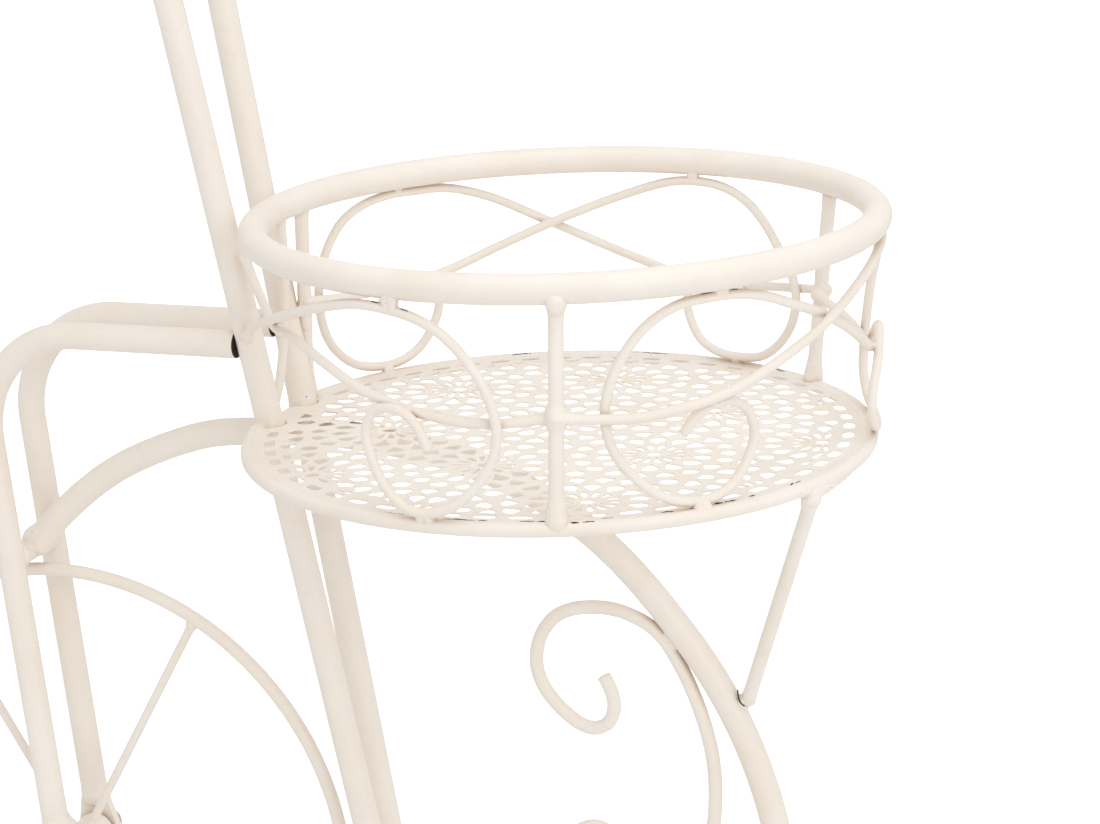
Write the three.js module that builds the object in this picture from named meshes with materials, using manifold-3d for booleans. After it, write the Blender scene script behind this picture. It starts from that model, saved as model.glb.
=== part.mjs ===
// Flower cart stand: a tricycle-shaped plant stand in welded steel rod and tube, with a low round
// basket behind the mast and a second one on top of it. Millimetres, +Z up. +X runs towards the
// rear wheels and -Y is the near side. Places below are given from the lower basket's centre line;
// at the end the whole stand moves along X, so that its origin is in the middle of its footprint.
import * as THREE from 'three';
import { mergeVertices } from 'three/addons/utils/BufferGeometryUtils.js';
import Module from 'manifold-3d';

const wasm = await Module();
wasm.setup();

// ---- driving dimensions -------------------------------------------------------------------------
const TUBE_RADIUS = 6;                 // rims, posts, backbone, rails and keel
const ROD_RADIUS = 3;                  // uprights, shelf rings, strut, scrolls and wheel rims
const WIRE_RADIUS = 2;                 // the wires that weave round the baskets
const SPOKE_RADIUS = 2;
const WELD_GAP = 0.3;                  // space that a weld bead fills between two pieces

const SHELF_HEIGHT = 342;              // floor to the middle of the lower shelf ring's rod
const RIM_RING_RADIUS = 125;           // to the middle of the rim tube
const SHELF_RING_RADIUS = 127.5;       // to the middle of the shelf ring's rod
const RIM_SET_OUT = 5.5;               // the rim stands this far behind the shelf ring, along X
const BASKET_DEPTH = 91;               // shelf ring to rim, centre to centre
const POST_DIRECTION = -90;            // degrees, where the posts stand, from the near side
const UPRIGHT_COUNT = 3;
const WIRE_SIDESTEP = 2.2;             // how far a wire runs inside or outside the basket wall
const TOP_BASKET_RISE = 420;           // lower shelf ring to upper shelf ring
const LOWER_BASKET_TURN = 18.4;         // degrees, first upright from the near side
const TOP_BASKET_TURN = 90;
const LOWER_UPRIGHT_SHIFT = -0.8;      // degrees, keeps the third upright clear of the far post
const POST_WIRE_DEGREES = 23.6;        // the wire that starts on the near post, from its upright
const POST_WIRE_HEIGHT = 0.46;         // share of the basket's depth
const POST_WIRE_FLARE = 6.5;            // how far outside the wall that wire starts
const POST_WIRE_RUN = 30;              // degrees in which it comes back to the wall

const PLATE_THICKNESS = 0.7;
const PLATE_GAP = 0.5;                 // between the plate's edge and the ring
const PLATE_RISE = 1.5;                // plate's underside above the middle of the ring's rod
const FLOWER_PITCH = 68;               // from flower centre to flower centre
const FLOWER_TURN = 25.7;              // degrees, the rows of flowers against the X axis
const FLOWER_SHIFT_X = -7.9;           // the middle flower, from the middle of the plate
const FLOWER_SHIFT_Y = 15;
const FLOWER_DISC_RADIUS = 9;
const FLOWER_PETALS = 10;
const PETAL_LENGTH = 24;
const PETAL_WIDTH = 7;

const POST_INSET = 5.3;                // posts inside the shelf ring, along X, at its level
const POST_LEAN = 0.171;               // how far the posts lean forward for each mm of height
const POST_HALF_SPREAD = 17.2;         // at the lower shelf's level
const POST_TAIL = 10;                  // posts run on below the keel's axis
const POST_TIE_RISE = 235;

const BACKBONE_RADIUS = 199.8;
const BACKBONE_SET_BACK = 16.1;        // its centre, behind the posts at the lower shelf's level
const STRUT_FOOT_DEGREES = 27.6;       // on the backbone, from its centre
const STRUT_HEAD_DEGREES = 68.5;       // round the shelf ring, from the near side
const BACKBONE_TOP_DROP = 5.6;         // backbone's axis at its top, below the shelf ring's axis

const RAIL_RISE = 36;
const RAIL_BEND_RADIUS = 45;
const FORK_RAKE = 22;                  // the fork's bend stands this far ahead of the front axle
const FRONT_WHEEL_DROP = 74;           // from the lower shelf ring down to the front wheel's top
const FRONT_WHEEL_CLEARANCE = 11.3;    // from the front wheel's back to the posts
const FRONT_SPOKE_TURN = 0;            // degrees
const REAR_WHEEL_RADIUS = 66;          // outside
const REAR_SPOKE_TURN = 30;            // degrees
const REAR_TRACK = 190;
const AXLE_RADIUS = 4;
const AXLE_CLEARANCE = 0.4;
const HUB_RADIUS = 9;
const REAR_HUB_WIDTH = 24;
const HUB_SIDE_GAP = 1.2;
const SPOKE_COUNT = 6;
const DROPOUT_THICKNESS = 4;
const DROPOUT_RADIUS = 10;
const DROPOUT_REACH = 18;              // axle to the end of the fork tube
const NUT_FLATS_RADIUS = 7.5;
const NUT_THICKNESS = 6;
const SLEEVE_RADIUS = 8;
const SLEEVE_END_GAP = 1.2;            // between the sleeve and each rear hub
const PLUG_THICKNESS = 3;
const BEARER_RADIUS = 4;
const BRACE_DROP = 62;
const BRACE_REACH = 70;
const BRACE_KNEE_DROP = 18;
const BRACE_KNEE_REACH = 8;

const CREAM = { color: 0xefe4d3, roughness: 0.42, metalness: 0.0 };
const PLUG_CREAM = { color: 0xe4d8c4, roughness: 0.6, metalness: 0.0 };
const ZINC = { color: 0xb9b7b2, roughness: 0.35, metalness: 0.9 };

// ---- derived levels and places ------------------------------------------------------------------
const RAD = Math.PI / 180;
const frontWheelRadius = (SHELF_HEIGHT - FRONT_WHEEL_DROP) / 2;
const frontAxleZ = frontWheelRadius;
const rearAxleZ = REAR_WHEEL_RADIUS;
const backboneCentreZ = SHELF_HEIGHT - BACKBONE_TOP_DROP - BACKBONE_RADIUS;
const topShelfZ = SHELF_HEIGHT + TOP_BASKET_RISE;
const postHalfWidth = TUBE_RADIUS * Math.hypot(1, POST_LEAN);
const postFootX = POST_INSET - SHELF_RING_RADIUS;
const backboneCentreX = postFootX + BACKBONE_SET_BACK;
// The posts draw together downwards, until the plugs in their ends all but touch.
const postBottomZ = rearAxleZ - POST_TAIL;
const plugBottomZ = postBottomZ - WELD_GAP - PLUG_THICKNESS;
const postSplay = (POST_HALF_SPREAD - TUBE_RADIUS - WELD_GAP / 2) / (SHELF_HEIGHT - plugBottomZ);
const vec = (x, y, z) => new THREE.Vector3(x, y, z);

function postAxis(side, z) {
  const rise = z - SHELF_HEIGHT;
  return vec(postFootX - POST_LEAN * rise, side * (POST_HALF_SPREAD + postSplay * rise), z);
}

function backboneAxis(degrees) {
  const a = degrees * RAD;
  return vec(backboneCentreX + BACKBONE_RADIUS * Math.cos(a), 0,
    backboneCentreZ + BACKBONE_RADIUS * Math.sin(a));
}

// ---- shape helpers ------------------------------------------------------------------------------
// A curve that steps from station to station, so that straight runs take one step.
class StationCurve extends THREE.Curve {
  constructor(stations) {
    super();
    this.stations = stations;
  }

  getPoint(t) {
    const last = this.stations.length - 1;
    const i = Math.min(Math.floor(t * last), last - 1);
    return this.stations[i].clone().lerp(this.stations[i + 1], t * last - i);
  }

  getPointAt(u) {
    return this.getPoint(u);
  }

  getTangentAt(u) {
    const last = this.stations.length - 1;
    const i = Math.round(u * last);
    const here = this.stations[i];
    const back = i > 0 ? here.clone().sub(this.stations[i - 1]).normalize() : vec(0, 0, 0);
    const ahead = i < last ? this.stations[i + 1].clone().sub(here).normalize() : vec(0, 0, 0);
    return back.add(ahead).normalize();
  }
}

function sweep(stations, radius, sides = 8) {
  const outline = [];
  for (let i = 0; i < sides; i += 1) {
    const a = 2 * Math.PI * i / sides;
    outline.push(new THREE.Vector2(radius * Math.cos(a), radius * Math.sin(a)));
  }
  return new THREE.ExtrudeGeometry(new THREE.Shape(outline), {
    steps: stations.length - 1,
    extrudePath: new StationCurve(stations),
    bevelEnabled: false,
  });
}

// Stations of a bent tube in an XZ plane: straight legs joined by round bends.
function bend(corners, radius, steps) {
  const stations = [corners[0]];
  for (let i = 1; i < corners.length - 1; i += 1) {
    const into = corners[i].clone().sub(corners[i - 1]).normalize();
    const out = corners[i + 1].clone().sub(corners[i]).normalize();
    const half = into.angleTo(out) / 2;
    const start = corners[i].clone().addScaledVector(into, -radius * Math.tan(half));
    const inward = out.clone().sub(into).normalize();
    const centre = corners[i].clone().addScaledVector(inward, radius / Math.cos(half));
    const spoke = start.clone().sub(centre);
    const axis = into.clone().cross(out).normalize();
    for (let k = 0; k <= steps; k += 1) {
      stations.push(spoke.clone().applyAxisAngle(axis, 2 * half * k / steps).add(centre));
    }
  }
  stations.push(corners[corners.length - 1]);
  return stations;
}

function arcXZ(axisAt, from, to, steps) {
  const stations = [];
  for (let i = 0; i <= steps; i += 1) {
    stations.push(axisAt(from + (to - from) * i / steps));
  }
  return stations;
}

function spline(points, steps) {
  return new THREE.CatmullRomCurve3(points, false, 'centripetal').getSpacedPoints(steps);
}

function manifoldOf(geometry) {
  const bare = geometry.clone();
  bare.deleteAttribute('normal');
  bare.deleteAttribute('uv');
  const merged = mergeVertices(bare, 1e-4);
  const index = merged.index ? merged.index.array : merged.getAttribute('position').array.keys();
  return new wasm.Manifold(new wasm.Mesh({
    numProp: 3,
    vertProperties: Float32Array.from(merged.getAttribute('position').array),
    triVerts: Uint32Array.from(index),
  }));
}

function geometryOf(manifold) {
  const mesh = manifold.getMesh();
  const geometry = new THREE.BufferGeometry();
  geometry.setAttribute('position', new THREE.BufferAttribute(mesh.vertProperties, 3));
  geometry.setIndex(new THREE.BufferAttribute(mesh.triVerts, 1));
  geometry.computeVertexNormals();
  return geometry;
}

// A cylinder along Y about the origin, for hubs, nuts and holes.
function barrel(radius, length, sides = 24) {
  return new THREE.CylinderGeometry(radius, radius, length, sides);
}

const stand = new THREE.Group();

function add(name, geometry, finish, place = vec(0, 0, 0), parent = stand) {
  const mesh = new THREE.Mesh(geometry, new THREE.MeshStandardMaterial(finish));
  mesh.name = name;
  mesh.position.copy(place);
  parent.add(mesh);
  return mesh;
}

// ---- baskets ------------------------------------------------------------------------------------
// A wire's path on the unrolled basket wall: degrees from its own upright, and height as a share
// of the basket's depth. It sags from the upright, climbs to the rim and curls down in a scroll.
const WIRE_ROUTE = [
  [0, 0.455], [12, 0.436], [22, 0.458], [33, 0.51], [45, 0.61], [58, 0.705], [72, 0.795], [83, 0.875],
  [91, 0.909], [99, 0.87], [105.5, 0.74], [110, 0.58], [111, 0.41], [109.5, 0.27], [105.5, 0.155],
  [99.5, 0.078], [93, 0.072], [88, 0.135], [85, 0.25], [84.6, 0.36], [87, 0.447], [91, 0.468],
  [95, 0.435], [98, 0.33],
];
const WIRE_CREST = 8;                  // the route's highest place, at the rim
const WIRE_STEPS = 34;
const WIRE_SIDES = 5;

function wallPoint(degrees, rise, sidestep) {
  const share = rise / BASKET_DEPTH;
  const radius = SHELF_RING_RADIUS + (RIM_RING_RADIUS - SHELF_RING_RADIUS) * share + sidestep;
  const a = degrees * RAD;
  return vec(RIM_SET_OUT * share + radius * Math.sin(a), -radius * Math.cos(a), rise);
}

// Where a wire passes a post it dips in, so that it keeps clear of the tube.
function keepClearOfPosts(point) {
  const gap = TUBE_RADIUS + WIRE_RADIUS + 2 * WELD_GAP;
  const radius = Math.hypot(point.x, point.y);
  let limit = radius;
  for (const side of [-1, 1]) {
    const post = postAxis(side, SHELF_HEIGHT + point.z);
    const along = radius * (Math.atan2(point.y, point.x) - Math.atan2(post.y, post.x));
    const wrapped = Math.abs(along) > Math.PI * radius ? 2 * Math.PI * radius - Math.abs(along) : along;
    limit = Math.min(limit, Math.hypot(post.x, post.y) - gap + wrapped * wrapped / (8 * gap));
  }
  point.x *= limit / radius;
  point.y *= limit / radius;
  return point;
}

function wireStations(uprightDegrees, direction, options) {
  const uprightSide = (ROD_RADIUS + WELD_GAP) / SHELF_RING_RADIUS / RAD;
  const from = options.onPost ? POST_WIRE_DEGREES : uprightSide;
  const route = WIRE_ROUTE.filter(([degrees], i) => i >= WIRE_CREST || degrees > from + 2);
  route.unshift([from, options.onPost ? POST_WIRE_HEIGHT : WIRE_ROUTE[0][1]]);
  const points = route.map(([degrees, share], i) => {
    const beforeCrest = options.onPost && i < WIRE_CREST;
    const flare = beforeCrest ? Math.max(0, 1 - (degrees - from) / POST_WIRE_RUN) : 0;
    const point = wallPoint(uprightDegrees + direction * degrees, share * BASKET_DEPTH,
      direction * WIRE_SIDESTEP + POST_WIRE_FLARE * flare);
    return options.posts ? keepClearOfPosts(point) : point;
  });
  return spline(points, WIRE_STEPS);
}

function flowerPlate(cuts) {
  const plateRadius = SHELF_RING_RADIUS - ROD_RADIUS - PLATE_GAP;
  const disc = new THREE.Shape();
  disc.absarc(0, 0, plateRadius, 0, 2 * Math.PI);
  const centres = [[FLOWER_SHIFT_X, FLOWER_SHIFT_Y]];
  for (let i = 0; i < 6; i += 1) {
    const a = (FLOWER_TURN + 60 * i) * RAD;
    centres.push([
      FLOWER_SHIFT_X + FLOWER_PITCH * Math.cos(a),
      FLOWER_SHIFT_Y + FLOWER_PITCH * Math.sin(a),
    ]);
  }
  for (const [cx, cy] of centres) {
    for (let i = 0; i < FLOWER_PETALS; i += 1) {
      const a = 2 * Math.PI * (i + 0.5) / FLOWER_PETALS;
      const at = (along, across) => new THREE.Vector2(
        cx + along * Math.cos(a) - across * Math.sin(a),
        cy + along * Math.sin(a) + across * Math.cos(a));
      const wide = FLOWER_DISC_RADIUS + 0.7 * PETAL_LENGTH;
      disc.holes.push(new THREE.Path([at(FLOWER_DISC_RADIUS, 0), at(wide, -PETAL_WIDTH / 2),
        at(FLOWER_DISC_RADIUS + PETAL_LENGTH, 0), at(wide, PETAL_WIDTH / 2)]));
    }
  }
  const plate = new THREE.ExtrudeGeometry(disc, {
    depth: PLATE_THICKNESS, bevelEnabled: false, curveSegments: 48,
  });
  plate.translate(0, 0, PLATE_RISE);
  return cuts.length ? geometryOf(cuts.reduce((solid, cut) => solid.subtract(cut), manifoldOf(plate)))
    : plate;
}

function ringStations(from, to, steps) {
  const stations = [];
  for (let i = 0; i <= steps; i += 1) {
    stations.push(wallPoint(from + (to - from) * i / steps, 0, 0));
  }
  return stations;
}

function basket(name, centre, turn, onMast) {
  const group = new THREE.Group();
  group.position.copy(centre);
  stand.add(group);

  const rim = new THREE.TorusGeometry(RIM_RING_RADIUS, TUBE_RADIUS, 8, 40);
  add(`${name}_rim`, rim, CREAM, vec(RIM_SET_OUT, 0, BASKET_DEPTH), group);

  // Behind the lower basket the ring is open, and its two ends are welded to the posts.
  if (onMast) {
    add(`${name}_shelf_ring`, new THREE.TorusGeometry(SHELF_RING_RADIUS, ROD_RADIUS, 6, 40), CREAM,
      vec(0, 0, 0), group);
    add(`${name}_shelf_plate`, flowerPlate([]), CREAM, vec(0, 0, 0), group);
  } else {
    const post = postAxis(1, SHELF_HEIGHT);
    const postDegrees = Math.atan2(post.y, -post.x) / RAD;
    const stop = postDegrees + (TUBE_RADIUS + 2 * WELD_GAP) / SHELF_RING_RADIUS / RAD;
    const stations = ringStations(POST_DIRECTION + stop, POST_DIRECTION + 360 - stop, 40);
    add(`${name}_shelf_ring`, sweep(stations, ROD_RADIUS, 6), CREAM, vec(0, 0, 0), group);
    const cuts = [-1, 1].map((side) => {
      const shift = vec(-centre.x, -centre.y, -centre.z);
      const foot = postAxis(side, SHELF_HEIGHT - 2 * TUBE_RADIUS).add(shift);
      const head = postAxis(side, SHELF_HEIGHT + 2 * TUBE_RADIUS).add(shift);
      return manifoldOf(sweep([foot, head], TUBE_RADIUS + PLATE_GAP, 16));
    });
    add(`${name}_shelf_plate`, flowerPlate(cuts), CREAM, vec(0, 0, 0), group);
  }

  for (let i = 0; i < UPRIGHT_COUNT; i += 1) {
    const shift = !onMast && i === UPRIGHT_COUNT - 1 ? LOWER_UPRIGHT_SHIFT : 0;
    const degrees = turn + 360 * i / UPRIGHT_COUNT + shift;
    const foot = wallPoint(degrees, ROD_RADIUS + WELD_GAP, 0);
    const head = wallPoint(degrees, BASKET_DEPTH - TUBE_RADIUS - WELD_GAP, 0);
    add(`${name}_upright_${i + 1}`, sweep([foot, head], ROD_RADIUS), CREAM, vec(0, 0, 0), group);
    for (const [label, direction] of [['left', -1], ['right', 1]]) {
      const options = { posts: !onMast };
      if (!onMast && i === UPRIGHT_COUNT - 1 && direction === 1) {
        // This wire starts on the outside of the near post instead of at its upright.
        options.posts = false;
        options.onPost = true;
      }
      const stations = wireStations(degrees - (options.onPost ? shift : 0), direction, options);
      add(`${name}_wire_${i + 1}_${label}`, sweep(stations, WIRE_RADIUS, WIRE_SIDES), CREAM,
        vec(0, 0, 0), group);
    }
  }
}

basket('lower', vec(0, 0, SHELF_HEIGHT), LOWER_BASKET_TURN, false);
const topBasketCentre = vec(postAxis(0, topShelfZ).x, 0, topShelfZ);
basket('upper', topBasketCentre, TOP_BASKET_TURN, true);

// ---- mast and backbone --------------------------------------------------------------------------
const bearerZ = topShelfZ - ROD_RADIUS - WELD_GAP - BEARER_RADIUS;
const postTopZ = bearerZ - BEARER_RADIUS - WELD_GAP - TUBE_RADIUS * POST_LEAN;
for (const [label, side] of [['near', -1], ['far', 1]]) {
  add(`post_${label}`, sweep([postAxis(side, postBottomZ), postAxis(side, postTopZ)], TUBE_RADIUS, 12),
    CREAM);
  const plugTop = postBottomZ - WELD_GAP;
  const plug = sweep([postAxis(side, plugTop - PLUG_THICKNESS), postAxis(side, plugTop)],
    TUBE_RADIUS, 12);
  add(`post_plug_${label}`, plug, PLUG_CREAM);
}

const tieZ = SHELF_HEIGHT + POST_TIE_RISE;
const tieReach = Math.abs(postAxis(1, tieZ).y) - TUBE_RADIUS - WELD_GAP;
const tieX = postAxis(0, tieZ).x;
add('post_tie', sweep([vec(tieX, -tieReach, tieZ), vec(tieX, tieReach, tieZ)], ROD_RADIUS), CREAM);

// The front fork leans: its tubes run from the rail bends down to the front axle.
const frontAxleX = postAxis(0, frontAxleZ).x - postHalfWidth - FRONT_WHEEL_CLEARANCE
  - frontWheelRadius;
const forkTop = vec(frontAxleX - FORK_RAKE, 0, SHELF_HEIGHT + RAIL_RISE);
const axlePoint = vec(frontAxleX, 0, frontAxleZ);
const forkDown = axlePoint.clone().sub(forkTop).normalize();
const bridgeRadius = TUBE_RADIUS - 1;
function forkAtBackbone() {
  let degrees = 90;
  while (backboneAxis(degrees).x > forkTop.x + forkDown.x / -forkDown.z
    * (forkTop.z - backboneAxis(degrees).z)) {
    degrees += 0.05;
  }
  return degrees;
}
const bridgeDegrees = forkAtBackbone();
const bridgePoint = backboneAxis(bridgeDegrees);
const backboneFrom = bridgeDegrees
  - (bridgeRadius + WELD_GAP + 1) / BACKBONE_RADIUS / RAD;
const rearReach = Math.asin((rearAxleZ - backboneCentreZ) / BACKBONE_RADIUS) / RAD;
const sleeveX = backboneAxis(rearReach).x;
const backboneTo = rearReach + (SLEEVE_RADIUS + WELD_GAP) / BACKBONE_RADIUS / RAD + 0.3;
add('backbone_tube', sweep(arcXZ(backboneAxis, backboneFrom, backboneTo, 32), TUBE_RADIUS, 10), CREAM);

const railY = Math.abs(postAxis(1, SHELF_HEIGHT + RAIL_RISE).y);
const railEndX = postAxis(1, SHELF_HEIGHT + RAIL_RISE + TUBE_RADIUS).x - postHalfWidth - WELD_GAP;
for (const [label, side] of [['near', -1], ['far', 1]]) {
  const y = side * railY;
  const forkEnd = axlePoint.clone().addScaledVector(forkDown, -DROPOUT_REACH);
  const corners = [vec(railEndX, y, SHELF_HEIGHT + RAIL_RISE), vec(forkTop.x, y, forkTop.z),
    vec(forkEnd.x, y, forkEnd.z)];
  add(`fork_rail_${label}`, sweep(bend(corners, RAIL_BEND_RADIUS, 9), TUBE_RADIUS, 10), CREAM);
}
const bridgeReach = railY - TUBE_RADIUS - WELD_GAP;
add('fork_bridge', sweep([vec(bridgePoint.x, -bridgeReach, bridgePoint.z),
  vec(bridgePoint.x, bridgeReach, bridgePoint.z)], bridgeRadius, 10), CREAM);

// ---- keel, axle sleeve, strut and scroll --------------------------------------------------------
const keelRadius = TUBE_RADIUS - 2 * WELD_GAP;
const keelStartX = postAxis(0, rearAxleZ - keelRadius).x + postHalfWidth + 2 * WELD_GAP;
const keelEndX = sleeveX - SLEEVE_RADIUS - WELD_GAP;
add('keel_tube', sweep([vec(keelStartX, 0, rearAxleZ), vec(keelEndX, 0, rearAxleZ)], keelRadius, 10),
  CREAM);
const sleeveLength = REAR_TRACK - REAR_HUB_WIDTH - 2 * SLEEVE_END_GAP;
const sleeve = manifoldOf(barrel(SLEEVE_RADIUS, sleeveLength))
  .subtract(manifoldOf(barrel(AXLE_RADIUS + AXLE_CLEARANCE, sleeveLength + 2)));
add('rear_axle_sleeve', geometryOf(sleeve), CREAM, vec(sleeveX, 0, rearAxleZ));

// The strut props the basket's outer edge on the backbone.
const strutHead = wallPoint(STRUT_HEAD_DEGREES, 0, 0)
  .add(vec(0, 0, SHELF_HEIGHT - 2 * ROD_RADIUS - 2 * WELD_GAP));
const strutFoot = backboneAxis(STRUT_FOOT_DEGREES);
const outward = strutFoot.clone().sub(vec(backboneCentreX, 0, backboneCentreZ)).normalize();
const strutTilt = strutHead.clone().sub(strutFoot).normalize().angleTo(outward);
strutFoot.addScaledVector(outward, TUBE_RADIUS + 2 * WELD_GAP + ROD_RADIUS * Math.sin(strutTilt));
add('basket_strut', sweep([strutFoot, strutHead], ROD_RADIUS), CREAM);

// The C-scroll in the bend of the backbone: half of it, from its blunt end to its middle, as
// places below the shelf ring; the other half is its mirror image.
const SCROLL_HALF = [
  [15.9, -103.6], [19.3, -115], [16.3, -124.5], [10, -127.8], [0, -123], [-10, -110.5],
  [-14.2, -100], [-12.3, -90], [-6.8, -82.8], [3, -76.6], [13.4, -73.8], [23.5, -74.6],
  [32.2, -78.2], [39.3, -84], [46.1, -92.6], [52.4, -103], [58.8, -119], [62.6, -135],
  [63.6, -150],
];
const scrollMiddle = SCROLL_HALF[SCROLL_HALF.length - 1][1];
const scrollPoints = SCROLL_HALF.map(([x, z]) => vec(x, 0, SHELF_HEIGHT + z));
for (const [x, z] of SCROLL_HALF.slice(0, -1).reverse()) {
  scrollPoints.push(vec(x, 0, SHELF_HEIGHT + 2 * scrollMiddle - z));
}
add('backbone_scroll', sweep(spline(scrollPoints, 56), ROD_RADIUS, 6), CREAM);

// ---- top basket's bearers and braces ------------------------------------------------------------
for (const [label, side] of [['near', -1], ['far', 1]]) {
  const y = postAxis(side, postTopZ).y;
  const reach = Math.sqrt(SHELF_RING_RADIUS ** 2 - y ** 2);
  add(`bearer_${label}`, sweep([vec(topBasketCentre.x - reach, y, bearerZ),
    vec(topBasketCentre.x + reach, y, bearerZ)], BEARER_RADIUS), CREAM);
  for (const [end, direction] of [['front', -1], ['rear', 1]]) {
    const foot = postAxis(side, bearerZ - BRACE_DROP);
    const clear = TUBE_RADIUS + ROD_RADIUS + 2 * WELD_GAP;
    const start = vec(foot.x + direction * clear, foot.y, foot.z);
    const headX = postAxis(side, bearerZ).x + direction * BRACE_REACH;
    const head = vec(headX, y, bearerZ - BEARER_RADIUS - ROD_RADIUS - WELD_GAP);
    const knee = postAxis(side, head.z - BRACE_KNEE_DROP);
    knee.x += direction * (clear + BRACE_KNEE_REACH);
    add(`brace_${label}_${end}`, sweep(spline([start, knee, head], 8), ROD_RADIUS, 6), CREAM);
  }
}

// ---- wheels -------------------------------------------------------------------------------------
function wheel(name, centre, outerRadius, hubWidth, turn) {
  const ringRadius = outerRadius - ROD_RADIUS;
  const rimSteps = outerRadius > 100 ? 48 : 36;
  const rim = new THREE.TorusGeometry(ringRadius, ROD_RADIUS, 6, rimSteps);
  rim.rotateX(Math.PI / 2);
  add(`${name}_rim`, rim, CREAM, centre);
  let spokes = manifoldOf(barrel(HUB_RADIUS, hubWidth));
  for (let i = 0; i < SPOKE_COUNT; i += 1) {
    const a = (turn + 360 * i / SPOKE_COUNT) * RAD;
    const reach = (ringRadius - ROD_RADIUS) * Math.cos(Math.PI / rimSteps) - WELD_GAP;
    const stations = [vec(6 * Math.cos(a), 0, 6 * Math.sin(a)),
      vec(reach * Math.cos(a), 0, reach * Math.sin(a))];
    spokes = spokes.add(manifoldOf(sweep(stations, SPOKE_RADIUS, 6)));
  }
  spokes = spokes.subtract(manifoldOf(barrel(AXLE_RADIUS + AXLE_CLEARANCE, hubWidth + 2)));
  add(`${name}_hub_spokes`, geometryOf(spokes), CREAM, centre);
}

function nut(name, place) {
  const body = manifoldOf(barrel(NUT_FLATS_RADIUS, NUT_THICKNESS, 6))
    .subtract(manifoldOf(barrel(AXLE_RADIUS + WELD_GAP, NUT_THICKNESS + 2)));
  add(name, geometryOf(body), ZINC, place);
}

const dropoutInner = railY - DROPOUT_THICKNESS / 2;
wheel('front_wheel', axlePoint, frontWheelRadius, 2 * (dropoutInner - HUB_SIDE_GAP),
  FRONT_SPOKE_TURN);
const dropoutOuter = railY + DROPOUT_THICKNESS / 2;
const frontAxleHalf = dropoutOuter + NUT_THICKNESS + 2;
add('front_axle', barrel(AXLE_RADIUS, 2 * frontAxleHalf), ZINC, axlePoint);
for (const [label, side] of [['near', -1], ['far', 1]]) {
  // A dropout is a flat plate under the fork tube's end, with the axle's hole in it.
  const lug = new THREE.Shape();
  const top = DROPOUT_REACH - 2 * WELD_GAP - 0.6;
  lug.moveTo(TUBE_RADIUS, top);
  lug.lineTo(-TUBE_RADIUS, top);
  lug.lineTo(-DROPOUT_RADIUS, 0);
  lug.absarc(0, 0, DROPOUT_RADIUS, Math.PI, 2 * Math.PI);
  lug.closePath();
  const hole = new THREE.Path();
  hole.absarc(0, 0, AXLE_RADIUS + WELD_GAP, 0, 2 * Math.PI);
  lug.holes.push(hole);
  const plate = new THREE.ExtrudeGeometry(lug, {
    depth: DROPOUT_THICKNESS, bevelEnabled: false, curveSegments: 10,
  });
  plate.translate(0, 0, -DROPOUT_THICKNESS / 2);
  plate.rotateX(Math.PI / 2);
  plate.rotateY(Math.atan2(-forkDown.x, -forkDown.z));
  add(`dropout_${label}`, plate, CREAM, vec(axlePoint.x, side * railY, axlePoint.z));
  nut(`front_nut_${label}`,
    vec(axlePoint.x, side * (dropoutOuter + NUT_THICKNESS / 2 + WELD_GAP), axlePoint.z));
}

const rearAxleHalf = REAR_TRACK / 2 + REAR_HUB_WIDTH / 2 + HUB_SIDE_GAP + NUT_THICKNESS + 2;
add('rear_axle', barrel(AXLE_RADIUS, 2 * rearAxleHalf), ZINC, vec(sleeveX, 0, rearAxleZ));
for (const [label, side] of [['near', -1], ['far', 1]]) {
  const hubCentre = vec(sleeveX, side * REAR_TRACK / 2, rearAxleZ);
  wheel(`rear_wheel_${label}`, hubCentre, REAR_WHEEL_RADIUS, REAR_HUB_WIDTH, REAR_SPOKE_TURN);
  const nutY = REAR_TRACK / 2 + REAR_HUB_WIDTH / 2 + HUB_SIDE_GAP + NUT_THICKNESS / 2;
  nut(`rear_nut_${label}`, vec(sleeveX, side * nutY, rearAxleZ));
}

// The origin is in the middle of the footprint: from the front wheel's front to the rear wheels' back.
stand.position.x = -(frontAxleX - frontWheelRadius + sleeveX + REAR_WHEEL_RADIUS) / 2;
const placedStand = new THREE.Group();
placedStand.add(stand);

export default placedStand;
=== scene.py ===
import itertools
import math

import bpy
import numpy as np
from mathutils import Matrix, Vector


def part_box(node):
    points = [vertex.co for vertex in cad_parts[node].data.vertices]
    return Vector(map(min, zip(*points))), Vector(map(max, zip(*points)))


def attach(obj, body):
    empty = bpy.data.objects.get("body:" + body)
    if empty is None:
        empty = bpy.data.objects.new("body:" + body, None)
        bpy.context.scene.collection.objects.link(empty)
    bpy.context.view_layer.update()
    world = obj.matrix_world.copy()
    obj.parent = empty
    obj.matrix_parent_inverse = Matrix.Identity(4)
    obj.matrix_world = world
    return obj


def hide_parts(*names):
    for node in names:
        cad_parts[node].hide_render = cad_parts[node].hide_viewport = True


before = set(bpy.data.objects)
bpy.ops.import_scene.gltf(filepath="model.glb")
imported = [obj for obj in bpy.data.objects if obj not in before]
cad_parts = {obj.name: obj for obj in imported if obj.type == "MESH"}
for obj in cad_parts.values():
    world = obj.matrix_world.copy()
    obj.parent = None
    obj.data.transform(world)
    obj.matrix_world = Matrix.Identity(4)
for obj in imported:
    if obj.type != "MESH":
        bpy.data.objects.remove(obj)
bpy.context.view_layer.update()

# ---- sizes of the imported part, in millimetres ---------------------------------------------------
# Radii of the three sizes of bar.
TUBE = 6.0
ROD = 3.0
WIRE = 2.0
# Baskets: the lower shelf ring's height, both rings' radii, how far the rim stands forward of
# the shelf ring, how far above it, and how far the top basket stands above the lower one.
SHELF_Z = 342.0
RIM_R = 125.0
RING_R = 127.5
SET_OUT = 5.5
DEPTH = 91.0
TOP_RISE = 420.0
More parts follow.
